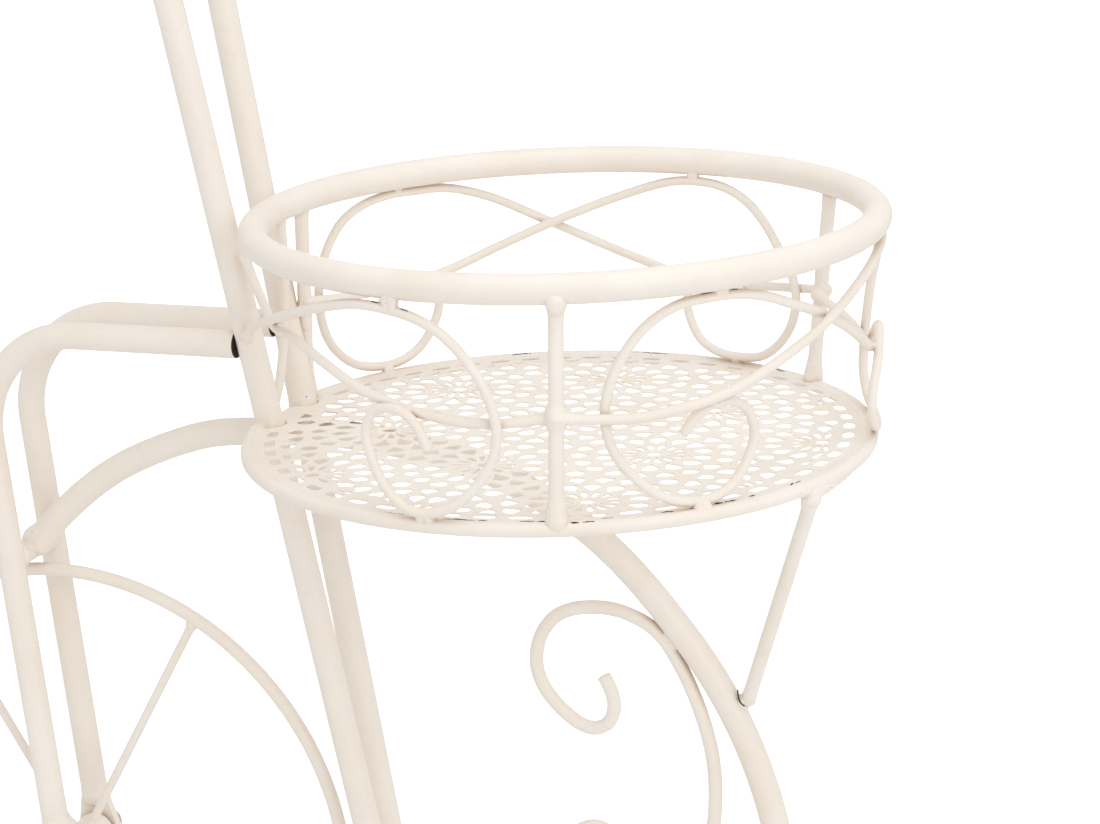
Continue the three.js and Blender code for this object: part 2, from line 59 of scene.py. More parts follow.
# Posts: their place at the lower shelf, and how they lean and part per millimetre of height.
POST_X = -122.2
LEAN = 0.171
SPREAD = 17.2
SPLAY = 0.0382
NEAR_POST_BACK = 0.5
# The backbone's arc, the fork and the wheels.
ARCH_R = 199.8
ARCH_X = -106.1
ARCH_DROP = 5.6
RAIL_RISE = 36.0
FORK_TOP_X = -260.0
WHEEL_R = 134.0
AXLE_X = -238.0
SMALL_R = 66.0
TRACK = 190.0
HUB_WIDTH = 24.0
# The room between neighbours, and how far a dressed bar stays inside its solid.
GAP = 0.3
INSIDE = 0.05

MM = 1000
rim_low, rim_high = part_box("lower_rim")
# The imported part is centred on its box: SHIFT is where the lower basket's axis came to lie.
SHIFT = MM * (rim_low[0] + rim_high[0]) / 2 - SET_OUT
ARCH_Z = SHELF_Z - ARCH_DROP - ARCH_R
TOP_Z = SHELF_Z + TOP_RISE
rng = np.random.default_rng(7)


def v(x, y, z):
    return np.array([x, y, z], float)


def unit(a):
    return a / np.linalg.norm(a)


def polar(r, a, z):
    """A point at radius r and angle a, which runs from the front towards +X."""
    return v(r * math.sin(a), -r * math.cos(a), z)


ARCH_MIDDLE = v(ARCH_X, 0, ARCH_Z)


def post_axis(side, z):
    """A point on the near (-1) or far (1) post's axis, or between them (0)."""
    rise = z - SHELF_Z
    x = POST_X - LEAN * rise + (NEAR_POST_BACK if side < 0 else 0)
    return v(x, side * (SPREAD + SPLAY * rise), z)


def arch(degrees):
    """A point on the backbone's axis."""
    a = math.radians(degrees)
    return v(ARCH_X + ARCH_R * math.cos(a), 0, ARCH_Z + ARCH_R * math.sin(a))


# ---- mesh helpers -------------------------------------------------------------------------------
def straight(a, b, n):
    """Points from a to b in n equal steps."""
    return np.array([a + (b - a) * i / n for i in range(n + 1)])


def spline(points, per_span=10):
    """Centripetal Catmull-Rom through the points."""
    p = np.array(points, float)
    p = np.vstack([2 * p[0] - p[1], p, 2 * p[-1] - p[-2]])
    out = []
    for i in range(1, len(p) - 2):
        a, b, c, d = p[i - 1:i + 3]
        t0 = 0.0
        t1 = t0 + max(np.linalg.norm(b - a), 1e-6) ** 0.5
        t2 = t1 + max(np.linalg.norm(c - b), 1e-6) ** 0.5
        t3 = t2 + max(np.linalg.norm(d - c), 1e-6) ** 0.5
        for k in range(per_span):
            t = t1 + (t2 - t1) * k / per_span
            a1 = (t1 - t) / (t1 - t0) * a + (t - t0) / (t1 - t0) * b
            a2 = (t2 - t) / (t2 - t1) * b + (t - t1) / (t2 - t1) * c
            a3 = (t3 - t) / (t3 - t2) * c + (t - t2) / (t3 - t2) * d
            b1 = (t2 - t) / (t2 - t0) * a1 + (t - t0) / (t2 - t0) * a2
            b2 = (t3 - t) / (t3 - t1) * a2 + (t - t1) / (t3 - t1) * a3
            out.append((t2 - t) / (t2 - t1) * b1 + (t - t1) / (t2 - t1) * b2)
    out.append(p[-2])
    return np.array(out)


def frames(pts, closed):
    """Tangents and a pair of normals that don't twist along the path."""
    n = len(pts)
    if closed:
        tan = np.roll(pts, -1, 0) - np.roll(pts, 1, 0)
    else:
        tan = np.gradient(pts, axis=0)
    tan /= np.linalg.norm(tan, axis=1)[:, None]
    ref = v(0, 0, 1) if abs(tan[0][2]) < 0.9 else v(0, 1, 0)
    first = unit(np.cross(tan[0], ref))
    side = [first]
    for i in range(1, n):
        s = side[-1] - tan[i] * np.dot(side[-1], tan[i])
        side.append(unit(s))
    side = np.array(side)
    return tan, side, np.cross(tan, side)


def circle(centre, radius, one, two, sides):
    a = 2 * np.pi * np.arange(sides) / sides
    return centre + radius * (np.cos(a)[:, None] * one + np.sin(a)[:, None] * two)


def skin(count, sides, closed=False):
    """Faces that join rings of points into a tube, with two end faces if it is open."""
    faces = []
    for i in range(count if closed else count - 1):
        j = (i + 1) % count
        for k in range(sides):
            q = (k + 1) % sides
            faces.append((i * sides + k, i * sides + q, j * sides + q, j * sides + k))
    if not closed:
        faces.append(tuple(range(sides - 1, -1, -1)))
        faces.append(tuple((count - 1) * sides + k for k in range(sides)))
    return faces


def sweep(pts, radius, sides=20, closed=False, edge=0.8):
    """Vertices and faces of a round bar along pts. edge is the rounding of its two ends."""
    pts = np.array(pts, float)
    rad = np.full(len(pts), float(radius)) if np.isscalar(radius) else np.array(radius, float)
    tan, one, two = frames(pts, closed)
    if closed:
        rings = [circle(pts[i], rad[i], one[i], two[i], sides) for i in range(len(pts))]
        return np.vstack(rings), skin(len(rings), sides, True)
    caps = []
    for at, sign in ((0, 1), (-1, -1)):
        size = min(edge, rad[at] * 0.6)
        cap = []
        # the first ring lies on the bar's side, the last one is the end face
        for a in (0, math.pi / 6, math.pi / 3, math.pi / 2):
            p = pts[at] + sign * tan[at] * size * (1 - math.sin(a))
            cap.append(circle(p, rad[at] - size * (1 - math.cos(a)), one[at], two[at], sides))
        caps.append(cap)
    inner = []
    for i in range(1, len(pts) - 1):
        to_ends = np.linalg.norm(pts[i] - pts[[0, -1]], axis=1)
        if to_ends[0] > rad[0] and to_ends[1] > rad[-1]:
            inner.append(circle(pts[i], rad[i], one[i], two[i], sides))
    rings = caps[0][::-1] + inner + caps[1]
    return np.vstack(rings), skin(len(rings), sides)


def lathe(rings, centre):
    """Rings of (height along Y, radius per angle), joined round and closed at both ends."""
    n = len(rings[0][1])
    verts = []
    for y, radii in rings:
        for k, r in enumerate(radii):
            a = 2 * math.pi * k / n
            verts.append(centre + v(r * math.sin(a), y, r * math.cos(a)))
    return np.array(verts), skin(len(rings), n)


def flared(a, b, r):
    """A bar whose two ends swell into their welds."""
    n = 24
    flare = 0.3
    reach = 8
    length = np.linalg.norm(b - a)
    rad = []
    for i in range(n + 1):
        d = min(i, n - i) * length / n
        rad.append(r + flare * max(0, 1 - d / reach) ** 2)
    return sweep(straight(a, b, n), rad, edge=0.4)


def put(name, data):
    """A new object in the scene."""
    obj = bpy.data.objects.new(name, data)
    bpy.context.scene.collection.objects.link(obj)
    return obj


def piece(name, parts, finish, body="frame", nodes=()):
    """One Blender object from meshes given in the stand's own millimetres."""
    verts, faces, base = [], [], 0
    for vs, fs in parts:
        verts.append(vs)
        faces += [tuple(i + base for i in f) for f in fs]
        base += len(vs)
    verts = (np.vstack(verts) + v(SHIFT, 0, 0)) / MM
    mesh = bpy.data.meshes.new(name)
    mesh.from_pydata(verts.tolist(), [], faces)
    mesh.update()
    mesh.polygons.foreach_set("use_smooth", [True] * len(mesh.polygons))
    mesh.set_sharp_from_angle(angle=math.radians(50))
    obj = put(name, mesh)
    paint, slot = finish
    mesh.materials.append(paint)
    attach(obj, body)
    if nodes:
        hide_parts(*nodes)
    return obj


def dress(node, suffix, parts, finish, body="frame"):
    """A piece named after the one CAD node that it stands for."""
    return piece(f"{node}_{suffix}", parts, finish, body, [node])


def stub(a, b, ra, rb, sides=14):
    """A short tapering bar with round ends, as raw material for a weld."""
    a, b = np.array(a, float), np.array(b, float)
    if np.linalg.norm(b - a) < 0.2:
        b = a + v(0, 0, 0.2)
    tan = unit(b - a)
    one = unit(np.cross(tan, v(0.31, 0.2, 0.93)))
    two = np.cross(tan, one)
    quarter = [math.pi / 2 * (k + 0.5) / 5 for k in range(5)]
    rings = [(a - tan * ra * math.cos(t), ra * math.sin(t)) for t in quarter]
    rings += [(a + (b - a) * t, ra + (rb - ra) * t) for t in (0, 0.33, 0.67, 1)]
    rings += [(b + tan * rb * math.sin(t), rb * math.cos(t)) for t in quarter]
    return np.vstack([circle(c, r, one, two, sides) for c, r in rings]), skin(len(rings), sides)


def welds(name, stubs, slot, body="frame", voxel=0.45):
    """Stubs melted together into lumpy weld metal under paint."""
    obj = piece(name, [stub(*s) for s in stubs], (weld_paint, slot), body)
    melt = obj.modifiers.new("melt", "REMESH")
    melt.mode = "VOXEL"
    melt.voxel_size = voxel / MM
    melt.use_smooth_shade = True
    soft = obj.modifiers.new("soften", "SMOOTH")
    soft.factor = 0.5
    soft.iterations = 6
    lumps = bpy.data.textures.new(name + "_lumps", "CLOUDS")
    lumps.noise_scale = 4.2 / MM
    push = obj.modifiers.new("lumps", "DISPLACE")
    push.texture = lumps
    push.texture_coords = "LOCAL"
    push.strength = 0.6 / MM
    push.mid_level = 0.55
    graph = bpy.context.evaluated_depsgraph_get()
    mesh = bpy.data.meshes.new_from_object(obj.evaluated_get(graph))
    obj.modifiers.clear()
    obj.data = mesh
    mesh.materials.clear()
    mesh.materials.append(weld_paint)
    mesh.polygons.foreach_set("use_smooth", [True] * len(mesh.polygons))


# ---- materials ----------------------------------------------------------------------------------
def plug(node, inputs):
    """Sets a shader node's inputs, or links those that are given another node's output."""
    for key, value in inputs.items():
        if isinstance(value, bpy.types.NodeSocket):
            node.id_data.links.new(value, node.inputs[key])
        else:
            node.inputs[key].default_value = value
    return node


def add(tree, kind, inputs, **settings):
    node = tree.nodes.new("ShaderNode" + kind)
    for key, value in settings.items():
        setattr(node, key, value)
    return plug(node, inputs)


def material(name):
    """A new material, its node tree and the object's own coordinates."""
    mat = bpy.data.materials.new(name)
    mat.use_nodes = True
    return mat, mat.node_tree, add(mat.node_tree, "TexCoord", {}).outputs["Object"]


def rgba(tint, shade=1.0):
    return (*(c * shade for c in tint), 1)


CREAM = (0.885, 0.822, 0.75)
BASKET_CREAM = (0.89, 0.832, 0.765)
PAINTED_SHADE_TAN = (0.66, 0.50, 0.36)
PAINTED_SHADE_DARK = (0.035, 0.022, 0.014)


def enamel(name, tint, rough=0.42, shade_specks=0.0):
    """Brushed-on satin enamel: uneven tone, a fine orange peel, and tan painted shade in corners."""
    mat, tree, place = material(name)

    def noise(scale, detail, roughness):
        inputs = {"Vector": place, "Scale": scale, "Detail": detail, "Roughness": roughness}
        return add(tree, "TexNoise", inputs).outputs["Fac"]

    def ramp(source, low, high, a, b):
        inputs = {"Value": source, "From Min": low, "From Max": high, "To Min": a, "To Max": b}
        return add(tree, "MapRange", inputs).outputs["Result"]

    def blend(fac, a, b):
        # the Mix node's sockets for colours: 6 and 7 in, 2 out
        return add(tree, "Mix", {0: fac, 6: a, 7: b}, data_type="RGBA").outputs[2]

    warmer = [c * k for c, k in zip(tint, (0.965, 0.94, 0.905))]
    colour = blend(ramp(noise(28, 3, 0.55), 0.35, 0.7, 0, 1), rgba(tint), rgba(warmer))
    colour = blend(ramp(noise(210, 4, 0.6), 0.56, 0.72, 0, 0.35), colour, rgba(tint, 0.9))
    # painted shade: tan darkening wherever the AO node finds a corner or crevice
    corner = add(tree, "AmbientOcclusion", {"Distance": 6 / MM}, samples=8)
    colour = blend(ramp(corner.outputs["AO"], 0.30, 0.85, 0.55, 0), colour, rgba(PAINTED_SHADE_TAN))
    # painted shade: near-black dots for the shade in small pits, scattered by noise
    if shade_specks:
        shade_pits = add(tree, "TexVoronoi", {"Vector": place, "Scale": 420})
        dots = ramp(shade_pits.outputs["Distance"], 0.10, 0.16, 1, 0)
        some = ramp(noise(160, 2, 0.5), 0.60, 0.64, 0, shade_specks)
        both = add(tree, "Math", {0: dots, 1: some}, operation="MULTIPLY")
        colour = blend(both.outputs["Value"], colour, rgba(PAINTED_SHADE_DARK))
    gloss = ramp(noise(90, 3, 0.5), 0.3, 0.7, rough - 0.06, rough + 0.09)
    peel = add(tree, "Bump", {"Strength": 0.22, "Distance": 0.00025, "Height": noise(620, 2, 0.5)})
    waves = add(tree, "Bump", {"Strength": 0.30, "Distance": 0.0009,
                               "Height": noise(120, 2, 0.45), "Normal": peel.outputs["Normal"]})
    plug(tree.nodes["Principled BSDF"], {
        "Base Color": colour, "Roughness": gloss, "Specular IOR Level": 0.42,
        "Normal": waves.outputs["Normal"]})
    return mat


def grained(name, tint, rough, metallic, fine):
    """A plain material with a fine grain in its tone and gloss."""
    mat, tree, place = material(name)
    grain = add(tree, "TexNoise", {"Vector": place, "Scale": fine, "Detail": 4}).outputs["Fac"]
    tones = add(tree, "ValToRGB", {"Fac": grain})
    for element, position, shade in zip(tones.color_ramp.elements, (0.35, 0.65), (0.78, 1)):
        element.position = position
        element.color = rgba(tint, shade)
    gloss = add(tree, "MapRange", {"Value": grain, "To Min": rough - 0.08, "To Max": rough + 0.1})
    bump = add(tree, "Bump", {"Strength": 0.15, "Distance": 0.0002, "Height": grain})
    plug(tree.nodes["Principled BSDF"], {
        "Base Color": tones.outputs["Color"], "Roughness": gloss.outputs["Result"],
        "Metallic": metallic, "Normal": bump.outputs["Normal"]})
    return mat


# Each finish is a material and the record's slot that it belongs to.
FRAME = enamel("frame_paint", CREAM), "frame_enamel"
BASKET = enamel("basket_paint", BASKET_CREAM), "basket_enamel"
# the welds carry dark specks of painted shade
weld_paint = enamel("weld_paint", CREAM, rough=0.45, shade_specks=0.9)
WHEEL = enamel("wheel_paint", CREAM), "wheel_enamel"
ZINC = grained("zinc", (0.62, 0.61, 0.59), 0.32, 0.95, 900), "zinc_hardware"
PLUG = grained("plug_plastic", (0.80, 0.73, 0.62), 0.55, 0.0, 400), "end_plugs"
# painted shade: near-black for the cracks, creases and the rails' open mouths
gap_shade = grained("painted_gap_shade", (0.03, 0.02, 0.014), 0.8, 0.0, 700)

# ---- the wires' ways ----------------------------------------------------------------------------
# Along the basket's wall: degrees from the wire's upright, and height as a share of the depth.
COMMON = [
    (0, 0.455), (12, 0.436), (22, 0.455), (33, 0.51), (45, 0.61), (58, 0.715), (70, 0.815),
    (80, 0.885), (87, 0.907), (93, 0.907), (99.3, 0.885), (104.8, 0.815), (108.6, 0.71),
    (111.2, 0.58), (112, 0.45), (110.9, 0.31), (107.6, 0.18), (102, 0.088), (96.5, 0.06),
    (91, 0.078), (87, 0.145), (84.8, 0.25), (84.6, 0.36), (86.8, 0.447), (90.6, 0.478),
    (94.6, 0.45), (98.2, 0.36),
]
NEAR_RIGHT = [
    (0, 0.455), (12, 0.405), (24, 0.375), (34, 0.395), (42, 0.455), (50, 0.54), (58, 0.633),
    (67, 0.733), (75, 0.808), (82, 0.872), (88, 0.903), (94, 0.907), (99.4, 0.892), (104.2, 0.835),
    (107.7, 0.75), (110.6, 0.62), (111.8, 0.5), (111.4, 0.39), (109.6, 0.285), (106, 0.182),
    (101.2, 0.095), (96.5, 0.06), (91.5, 0.062), (87.8, 0.105), (85, 0.19), (83.5, 0.3),
    (85.1, 0.405), (88.3, 0.458), (91.6, 0.462), (94.9, 0.435), (98, 0.35),
]
NEAR_LEFT = [
    (58.9, 0.735), (64.9, 0.782), (71.9, 0.835), (78, 0.875), (84, 0.902), (90, 0.9),
    (96.5, 0.868), (101.5, 0.805), (106.2, 0.69), (109.4, 0.56), (111, 0.42), (110.4, 0.3),
    (108.2, 0.2), (104.4, 0.105), (99.6, 0.06), (95.5, 0.072), (91.6, 0.145), (88.6, 0.26),
    (87.2, 0.385), (88.5, 0.462), (91.3, 0.487), (94.4, 0.476), (97, 0.423), (99.3, 0.326),
]
SWAG_RIGHT = [
    (0, 0.47), (12.4, 0.455), (20.2, 0.472), (27.7, 0.502), (33.1, 0.538), (40.4, 0.602),
    (48.9, 0.674), (54.8, 0.73), (64.8, 0.817), (73, 0.87), (80, 0.9), (86, 0.907), (89.3, 0.888),
    (91.8, 0.845), (94.6, 0.765), (98.6, 0.63), (101.2, 0.47), (102.4, 0.33), (102.6, 0.19),
    (100, 0.095), (94, 0.05), (86.5, 0.045), (80.2, 0.065), (76, 0.12), (74, 0.19), (74.6, 0.265),
    (77.8, 0.33), (82, 0.39), (85.4, 0.44), (88, 0.473), (91.3, 0.46), (95, 0.405), (98, 0.325),
]
SWAG_LEFT = [
    (0, 0.463), (11.9, 0.436), (22.3, 0.458), (29.1, 0.49), (36.6, 0.535), (45.4, 0.61),
    (55.9, 0.682),
]
FAR_LEFT = [
    (0, 0.47), (15.7, 0.422), (30.2, 0.396), (43.6, 0.485), (64.1, 0.7), (75.7, 0.835),
    (84.7, 0.9), (91.7, 0.907), (97.7, 0.907), (104.2, 0.88), (109.7, 0.815), (113.7, 0.69),
    (115.3, 0.56), (115.2, 0.44), (113.3, 0.3), (110.2, 0.195), (105.1, 0.1), (99.7, 0.06),
    (94.2, 0.062), (90.1, 0.11), (87.3, 0.2), (85.8, 0.32), (87.7, 0.44), (91.7, 0.484),
    (95.7, 0.455), (98.9, 0.37),
]
FAR_RIGHT = [
    (0, 0.5), (12.3, 0.458), (22, 0.452), (33.7, 0.494), (46, 0.6), (57.6, 0.71), (71, 0.83),
    (81, 0.9), (88, 0.907), (93.5, 0.885), (98.5, 0.832), (103, 0.745), (107.2, 0.63), (111, 0.52),
    (112.6, 0.42), (111.8, 0.29), (108.4, 0.17), (103.5, 0.085), (98, 0.06), (92.6, 0.07),
    (88.6, 0.12), (86, 0.22), (85.2, 0.33), (87.4, 0.44), (91, 0.478), (95, 0.45), (98, 0.36),
]
# Points (x, y, height above the shelf) by which a wire leaves the wall for the near post.
NEAR_LEFT_START = [
    (-126.1, -26.4, 41.5), (-122.6, -29.5, 45.8), (-115.8, -37, 50.3), (-105.9, -49, 55.1),
    (-94.8, -62, 60.0),
]
SWAG_LEFT_END = [
    (-90.2, -73.2, 58.6), (-102.2, -54, 58.1), (-109.2, -42, 58.2), (-116.0, -31.5, 60.0),
    (-120.8, -28, 67.3), (-124.3, -26.4, 75.2),
]
# The second end of SWAG_LEFT's wire, which comes down between the posts.
SWAG_LEFT_TAIL = [
    (-90.4, 0.925), (-91.8, 0.78), (-92.8, 0.58), (-92.9, 0.4), (-92.3, 0.26), (-91, 0.14),
    (-88.6, 0.05), (-86.3, 0.02),
]
# How far each of a pair of wires stands off the wall, so that the two can cross.
SIDESTEP = 2.08


def wall(degrees, rise, out=0.0):
    """A point on the lower basket's wall, rise above its shelf ring."""
    share = rise / DEPTH
    r = RING_R + (RIM_R - RING_R) * share + out
    return polar(r, math.radians(degrees), rise) + v(SET_OUT * share, 0, 0)


def clear_of_posts(p):
    """The point, moved inwards where a post is in its way."""
    gap = TUBE + WIRE + 2 * GAP
    r = math.hypot(p[0], p[1])
    limit = r
    for side in (-1, 1):
        post = post_axis(side, SHELF_Z + p[2])
        along = r * (math.atan2(p[1], p[0]) - math.atan2(post[1], post[0]))
        if abs(along) > math.pi * r:
            along = 2 * math.pi * r - abs(along)
        limit = min(limit, math.hypot(post[0], post[1]) - gap + along * along / (8 * gap))
    return v(p[0] * limit / r, p[1] * limit / r, p[2])


def wire_path(upright, direction, route, knot, on_mast):
    """A wire's line, with the lower basket's two odd ends by the near post."""
    before = NEAR_LEFT_START if route is NEAR_LEFT else ()
    after = SWAG_LEFT_END if route is SWAG_LEFT else ()
    pts = [v(*p) for p in before]
    for degrees, share in route:
        at = upright + direction * degrees + (knot if degrees == 0 else 0)
        p = wall(at, share * DEPTH, direction * SIDESTEP)
        pts.append(p if on_mast or before or after else clear_of_posts(p))
    return spline(pts + [v(*p) for p in after], 9)


def ring_points(radius, n, wobble=0.12):
    """A closed circle that isn't quite perfect, as bent tube is."""
    phase = rng.uniform(0, 6.28, 3)
    pts = []
    for i in range(n):
        a = 2 * math.pi * i / n
        r = radius + wobble * (math.sin(2 * a + phase[0]) + 0.5 * math.sin(5 * a + phase[1]))
        pts.append(polar(r, a, wobble * math.sin(3 * a + phase[2])))
    return np.array(pts)


# ---- the shelves' sheet -------------------------------------------------------------------------
SHEET_R = RING_R - 2.35
SHEET_LIFT = 1.85
SHEET_DISH = 0.6
# Daisies stand on a triangular lattice, and one of them has its middle at DAISY.
DAISY = (-7.9, 15.0)
PITCH = 68.0
LATTICE_TURN = math.radians(25.7)
LATTICE_R = 150
# A slot's outline: how far along it, and what share of its width it has there.
TAPERED = [(0, 0), (0.10, 0.62), (0.30, 0.86), (0.62, 1.0), (0.84, 0.86), (0.96, 0.5), (1, 0)]
POINTED = [(0, 0), (0.18, 0.30), (0.42, 0.72), (0.66, 1.0), (0.86, 0.80), (0.97, 0.40), (1, 0)]
# A daisy's rings of slots: number, turn, start, end, width at both ends, outline.
DAISY_RINGS = [(14, 0.5, 5.3, 13.4, 1.4, 3.7, TAPERED), (14, 0, 14.4, 24.2, None, 7.4, POINTED),
               (18, 0.5, 25.2, 33.2, None, 8.5, POINTED)]
DAISY_DOT = 3.0
FILL_DOT = 3.9
FILL_AT = 39.3
# The daisies end at DAISIES_R, where they are cut off, and a row of slots runs round outside.
DAISIES_R = 114.2
LEAST_AREA = 7
EDGE_R = 118.6
EDGE_SLOTS = 54
EDGE_SLOT = [(-4.7, 0), (-4.2, 1.5), (-2.4, 2.3), (2.4, 2.3), (4.2, 1.5), (4.7, 0),
             (4.2, -1.5), (2.4, -2.3), (-2.4, -2.3), (-4.2, -1.5)]


def leaf(cx, cy, a, start, end, neck, wide, outline):
    """A drop-shaped slot that points at its daisy's middle, a little irregular."""
    a += rng.uniform(-0.016, 0.016)
    wide *= rng.uniform(0.84, 1.05)
    length = end - start - rng.uniform(0, 0.7)
    neck = neck or wide
    side = [(start + length * t, (neck + (wide - neck) * t) / 2 * w) for t, w in outline]
    loop = side + [(l, -w) for l, w in side[-2:0:-1]]
    return [(cx + l * math.cos(a) - w * math.sin(a), cy + l * math.sin(a) + w * math.cos(a))
            for l, w in loop]


def dot(cx, cy, r):
    n = 10
    return [(cx + r * math.cos(2 * math.pi * k / n), cy + r * math.sin(2 * math.pi * k / n))
            for k in range(n)]


def daisies():
    """Every slot of the lattice, also where the sheet has ended."""
    loops = []
    along, across = [(PITCH * math.cos(a), PITCH * math.sin(a))
                     for a in (LATTICE_TURN, LATTICE_TURN + math.pi / 3)]
    for i, j in itertools.product(range(-3, 4), repeat=2):
        cx = DAISY[0] + i * along[0] + j * across[0]
        cy = DAISY[1] + i * along[1] + j * across[1]
        if math.hypot(cx, cy) > LATTICE_R:
            continue
        loops.append(dot(cx, cy, DAISY_DOT))
        for number, turn, *slot in DAISY_RINGS:
            for k in range(number):
                a = 2 * math.pi * (k + turn) / number + LATTICE_TURN
                loops.append(leaf(cx, cy, a, *slot))
        for k in (0, 1):
            a = LATTICE_TURN + math.pi / 6 + k * math.pi / 3
            loops.append(dot(cx + FILL_AT * math.cos(a), cy + FILL_AT * math.sin(a), FILL_DOT))
    return loops


def edge_row():
    loops = []
    for k in range(EDGE_SLOTS):
        middle = 2 * math.pi * (k + 0.35) / EDGE_SLOTS
        polar = [(EDGE_R + w, middle + t / EDGE_R) for t, w in EDGE_SLOT]
        loops.append([(r * math.cos(a), r * math.sin(a)) for r, a in polar])
    return loops


def inside(loop, limit, posts):
    """Whether a hole lies inside a circle and clear of the posts."""
    for x, y in loop:
        if math.hypot(x, y) > limit:
            return False
        for post in posts:
            if math.hypot(x - post[0], y - post[1]) < TUBE + 2.6:
                return False
    return True


def clipped(loop, limit):
    """The part of a hole inside a circle, or nothing if little is left of it."""
    left = []
    for (x0, y0), (x1, y1) in zip(loop, loop[1:] + loop[:1]):
        r0, r1 = math.hypot(x0, y0), math.hypot(x1, y1)
        if r0 <= limit:
            left.append((x0, y0))
        if (r0 <= limit) != (r1 <= limit):
            t = (limit - r0) / (r1 - r0)
            if 0.02 < t < 0.98:
                left.append((x0 + (x1 - x0) * t, y0 + (y1 - y0) * t))
    area = 0
    for (x0, y0), (x1, y1) in zip(left, left[1:] + left[:1]):
        area += (x0 * y1 - x1 * y0) / 2
    return left if abs(area) > LEAST_AREA else None


def sheet_outline(posts):
    """The sheet's slightly uneven edge, notched round the posts."""
    outline = []
    notch = TUBE + 0.5
    for i in range(360):
        a = math.radians(i)
        r = SHEET_R + 0.12 * math.sin(17 * a) + 0.08 * math.sin(41 * a + 1)
        for post in posts:
            d = math.hypot(post[0], post[1])
            off = a - math.atan2(post[1], post[0])
            off = (off + math.pi) % (2 * math.pi) - math.pi
            if abs(off) < math.asin(notch / d):
                chord = math.sqrt(notch ** 2 - (d * math.sin(off)) ** 2)
                r = min(r, d * math.cos(off) - chord)
        outline.append((r * math.cos(a), r * math.sin(a)))
    return outline


def lace(node, centre, posts):
    """The shelf: a sheet of round daisies, cut as a flat curve with holes and thickened."""
    loops = [sheet_outline(posts)]
    for hole in daisies():
        if not inside(hole, DAISIES_R, posts):
            hole = clipped(hole, DAISIES_R) if inside(hole, LATTICE_R, posts) else None
        if hole:
            loops.append(hole)
    loops += [hole for hole in edge_row() if inside(hole, EDGE_R + 3.4, posts)]

    curve = bpy.data.curves.new(node, "CURVE")
    curve.dimensions = "2D"
    curve.fill_mode = "BOTH"
    curve.offset = -0.12 / MM
    curve.extrude = 0.23 / MM
    curve.bevel_depth = 0.12 / MM
    curve.bevel_resolution = 1
    for loop in loops:
        s = curve.splines.new("POLY")
        s.points.add(len(loop) - 1)
        for point, (x, y) in zip(s.points, loop):
            point.co = ((x + centre[0] + SHIFT) / MM, (y + centre[1]) / MM, 0, 1)
        s.use_cyclic_u = True
    maker = put(node + "_curve", curve)
    graph = bpy.context.evaluated_depsgraph_get()
    mesh = bpy.data.meshes.new_from_object(maker.evaluated_get(graph))
    bpy.data.objects.remove(maker)
    # the sheet isn't dead flat: it is dished a little between its welds
    co = np.empty(len(mesh.vertices) * 3)
    mesh.vertices.foreach_get("co", co)
    co = co.reshape(-1, 3)
    r = np.hypot(co[:, 0] * MM - SHIFT - centre[0], co[:, 1] * MM - centre[1])
    co[:, 2] += (centre[2] + SHEET_LIFT - SHEET_DISH * np.clip(1 - (r / 118) ** 2, 0, 1)) / MM
    mesh.vertices.foreach_set("co", co.ravel())
    mesh.update()
    mesh.materials.clear()
    mesh.materials.append(BASKET[0])
    mesh.polygons.foreach_set("use_smooth", [True] * len(mesh.polygons))
    mesh.set_sharp_from_angle(angle=math.radians(40))
    obj = put(node + "_lace", mesh)
    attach(obj, "frame")
    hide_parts(node)


# ---- baskets ------------------------------------------------------------------------------------
# Dark strips of painted shade in the cracks along the sheet's seam: from and to, in degrees round the
# ring, and half their width.
SEAM_CRACKS = [(-12, -8, 0.12), (-1, 5, 0.28), (5.5, 7, 0.34), (12.5, 15.2, 0.28),
               (15.6, 17, 0.36), (26.5, 28.5, 0.22), (37, 39, 0.38), (42, 44, 0.3),
               (47, 48.4, 0.5), (48.9, 51, 0.38), (54, 55.5, 0.38), (63.5, 64.6, 0.38),
               (65, 66.5, 0.28), (148, 152, 0.3), (176, 184, 0.25), (205, 209, 0.3)]
FOOT_CRACKS = [(17.2, 18.6, 0.3), (19.4, 19.9, 0.2), (21.2, 22.6, 0.36), (23.2, 25.2, 0.24)]
UPPER_CRACKS = [(-70, -65, 0.25), (-41, -38, 0.3), (-8, -2, 0.22), (24, 28, 0.3), (66, 73, 0.2),
                (112, 115, 0.3), (171, 176, 0.25), (230, 234, 0.2)]
# The seam's section: out from its own radius, and up from the ring's middle.
SEAM = [(-1.9, 2.25), (-0.9, 2.42), (0.1, 2.66), (1.0, 2.86), (1.5, 2.6), (0.4, 1.9), (-1.9, 1.7)]
# How far past its highest point a wire is welded to the rim.
PAST_NEAR_LEFT = 9.5
PAST_NEAR_RIGHT = -2.8


def ring_end(clear):
    """Where the lower ring stops at a post, in degrees round from the posts' middle."""
    return math.degrees(math.atan2(SPREAD, -POST_X) + (TUBE + clear) / RING_R)


def round_angle(stop, share):
    """The angle at a share of the way round, from one post to the other."""
    return math.radians(-90 + stop + (360 - 2 * stop) * share)


def nearest(path_a, path_b):
    d = np.linalg.norm(path_a[:, None] - path_b[None], axis=2)
    i, j = np.unravel_index(d.argmin(), d.shape)
    return path_a[i], path_b[j], d[i, j]


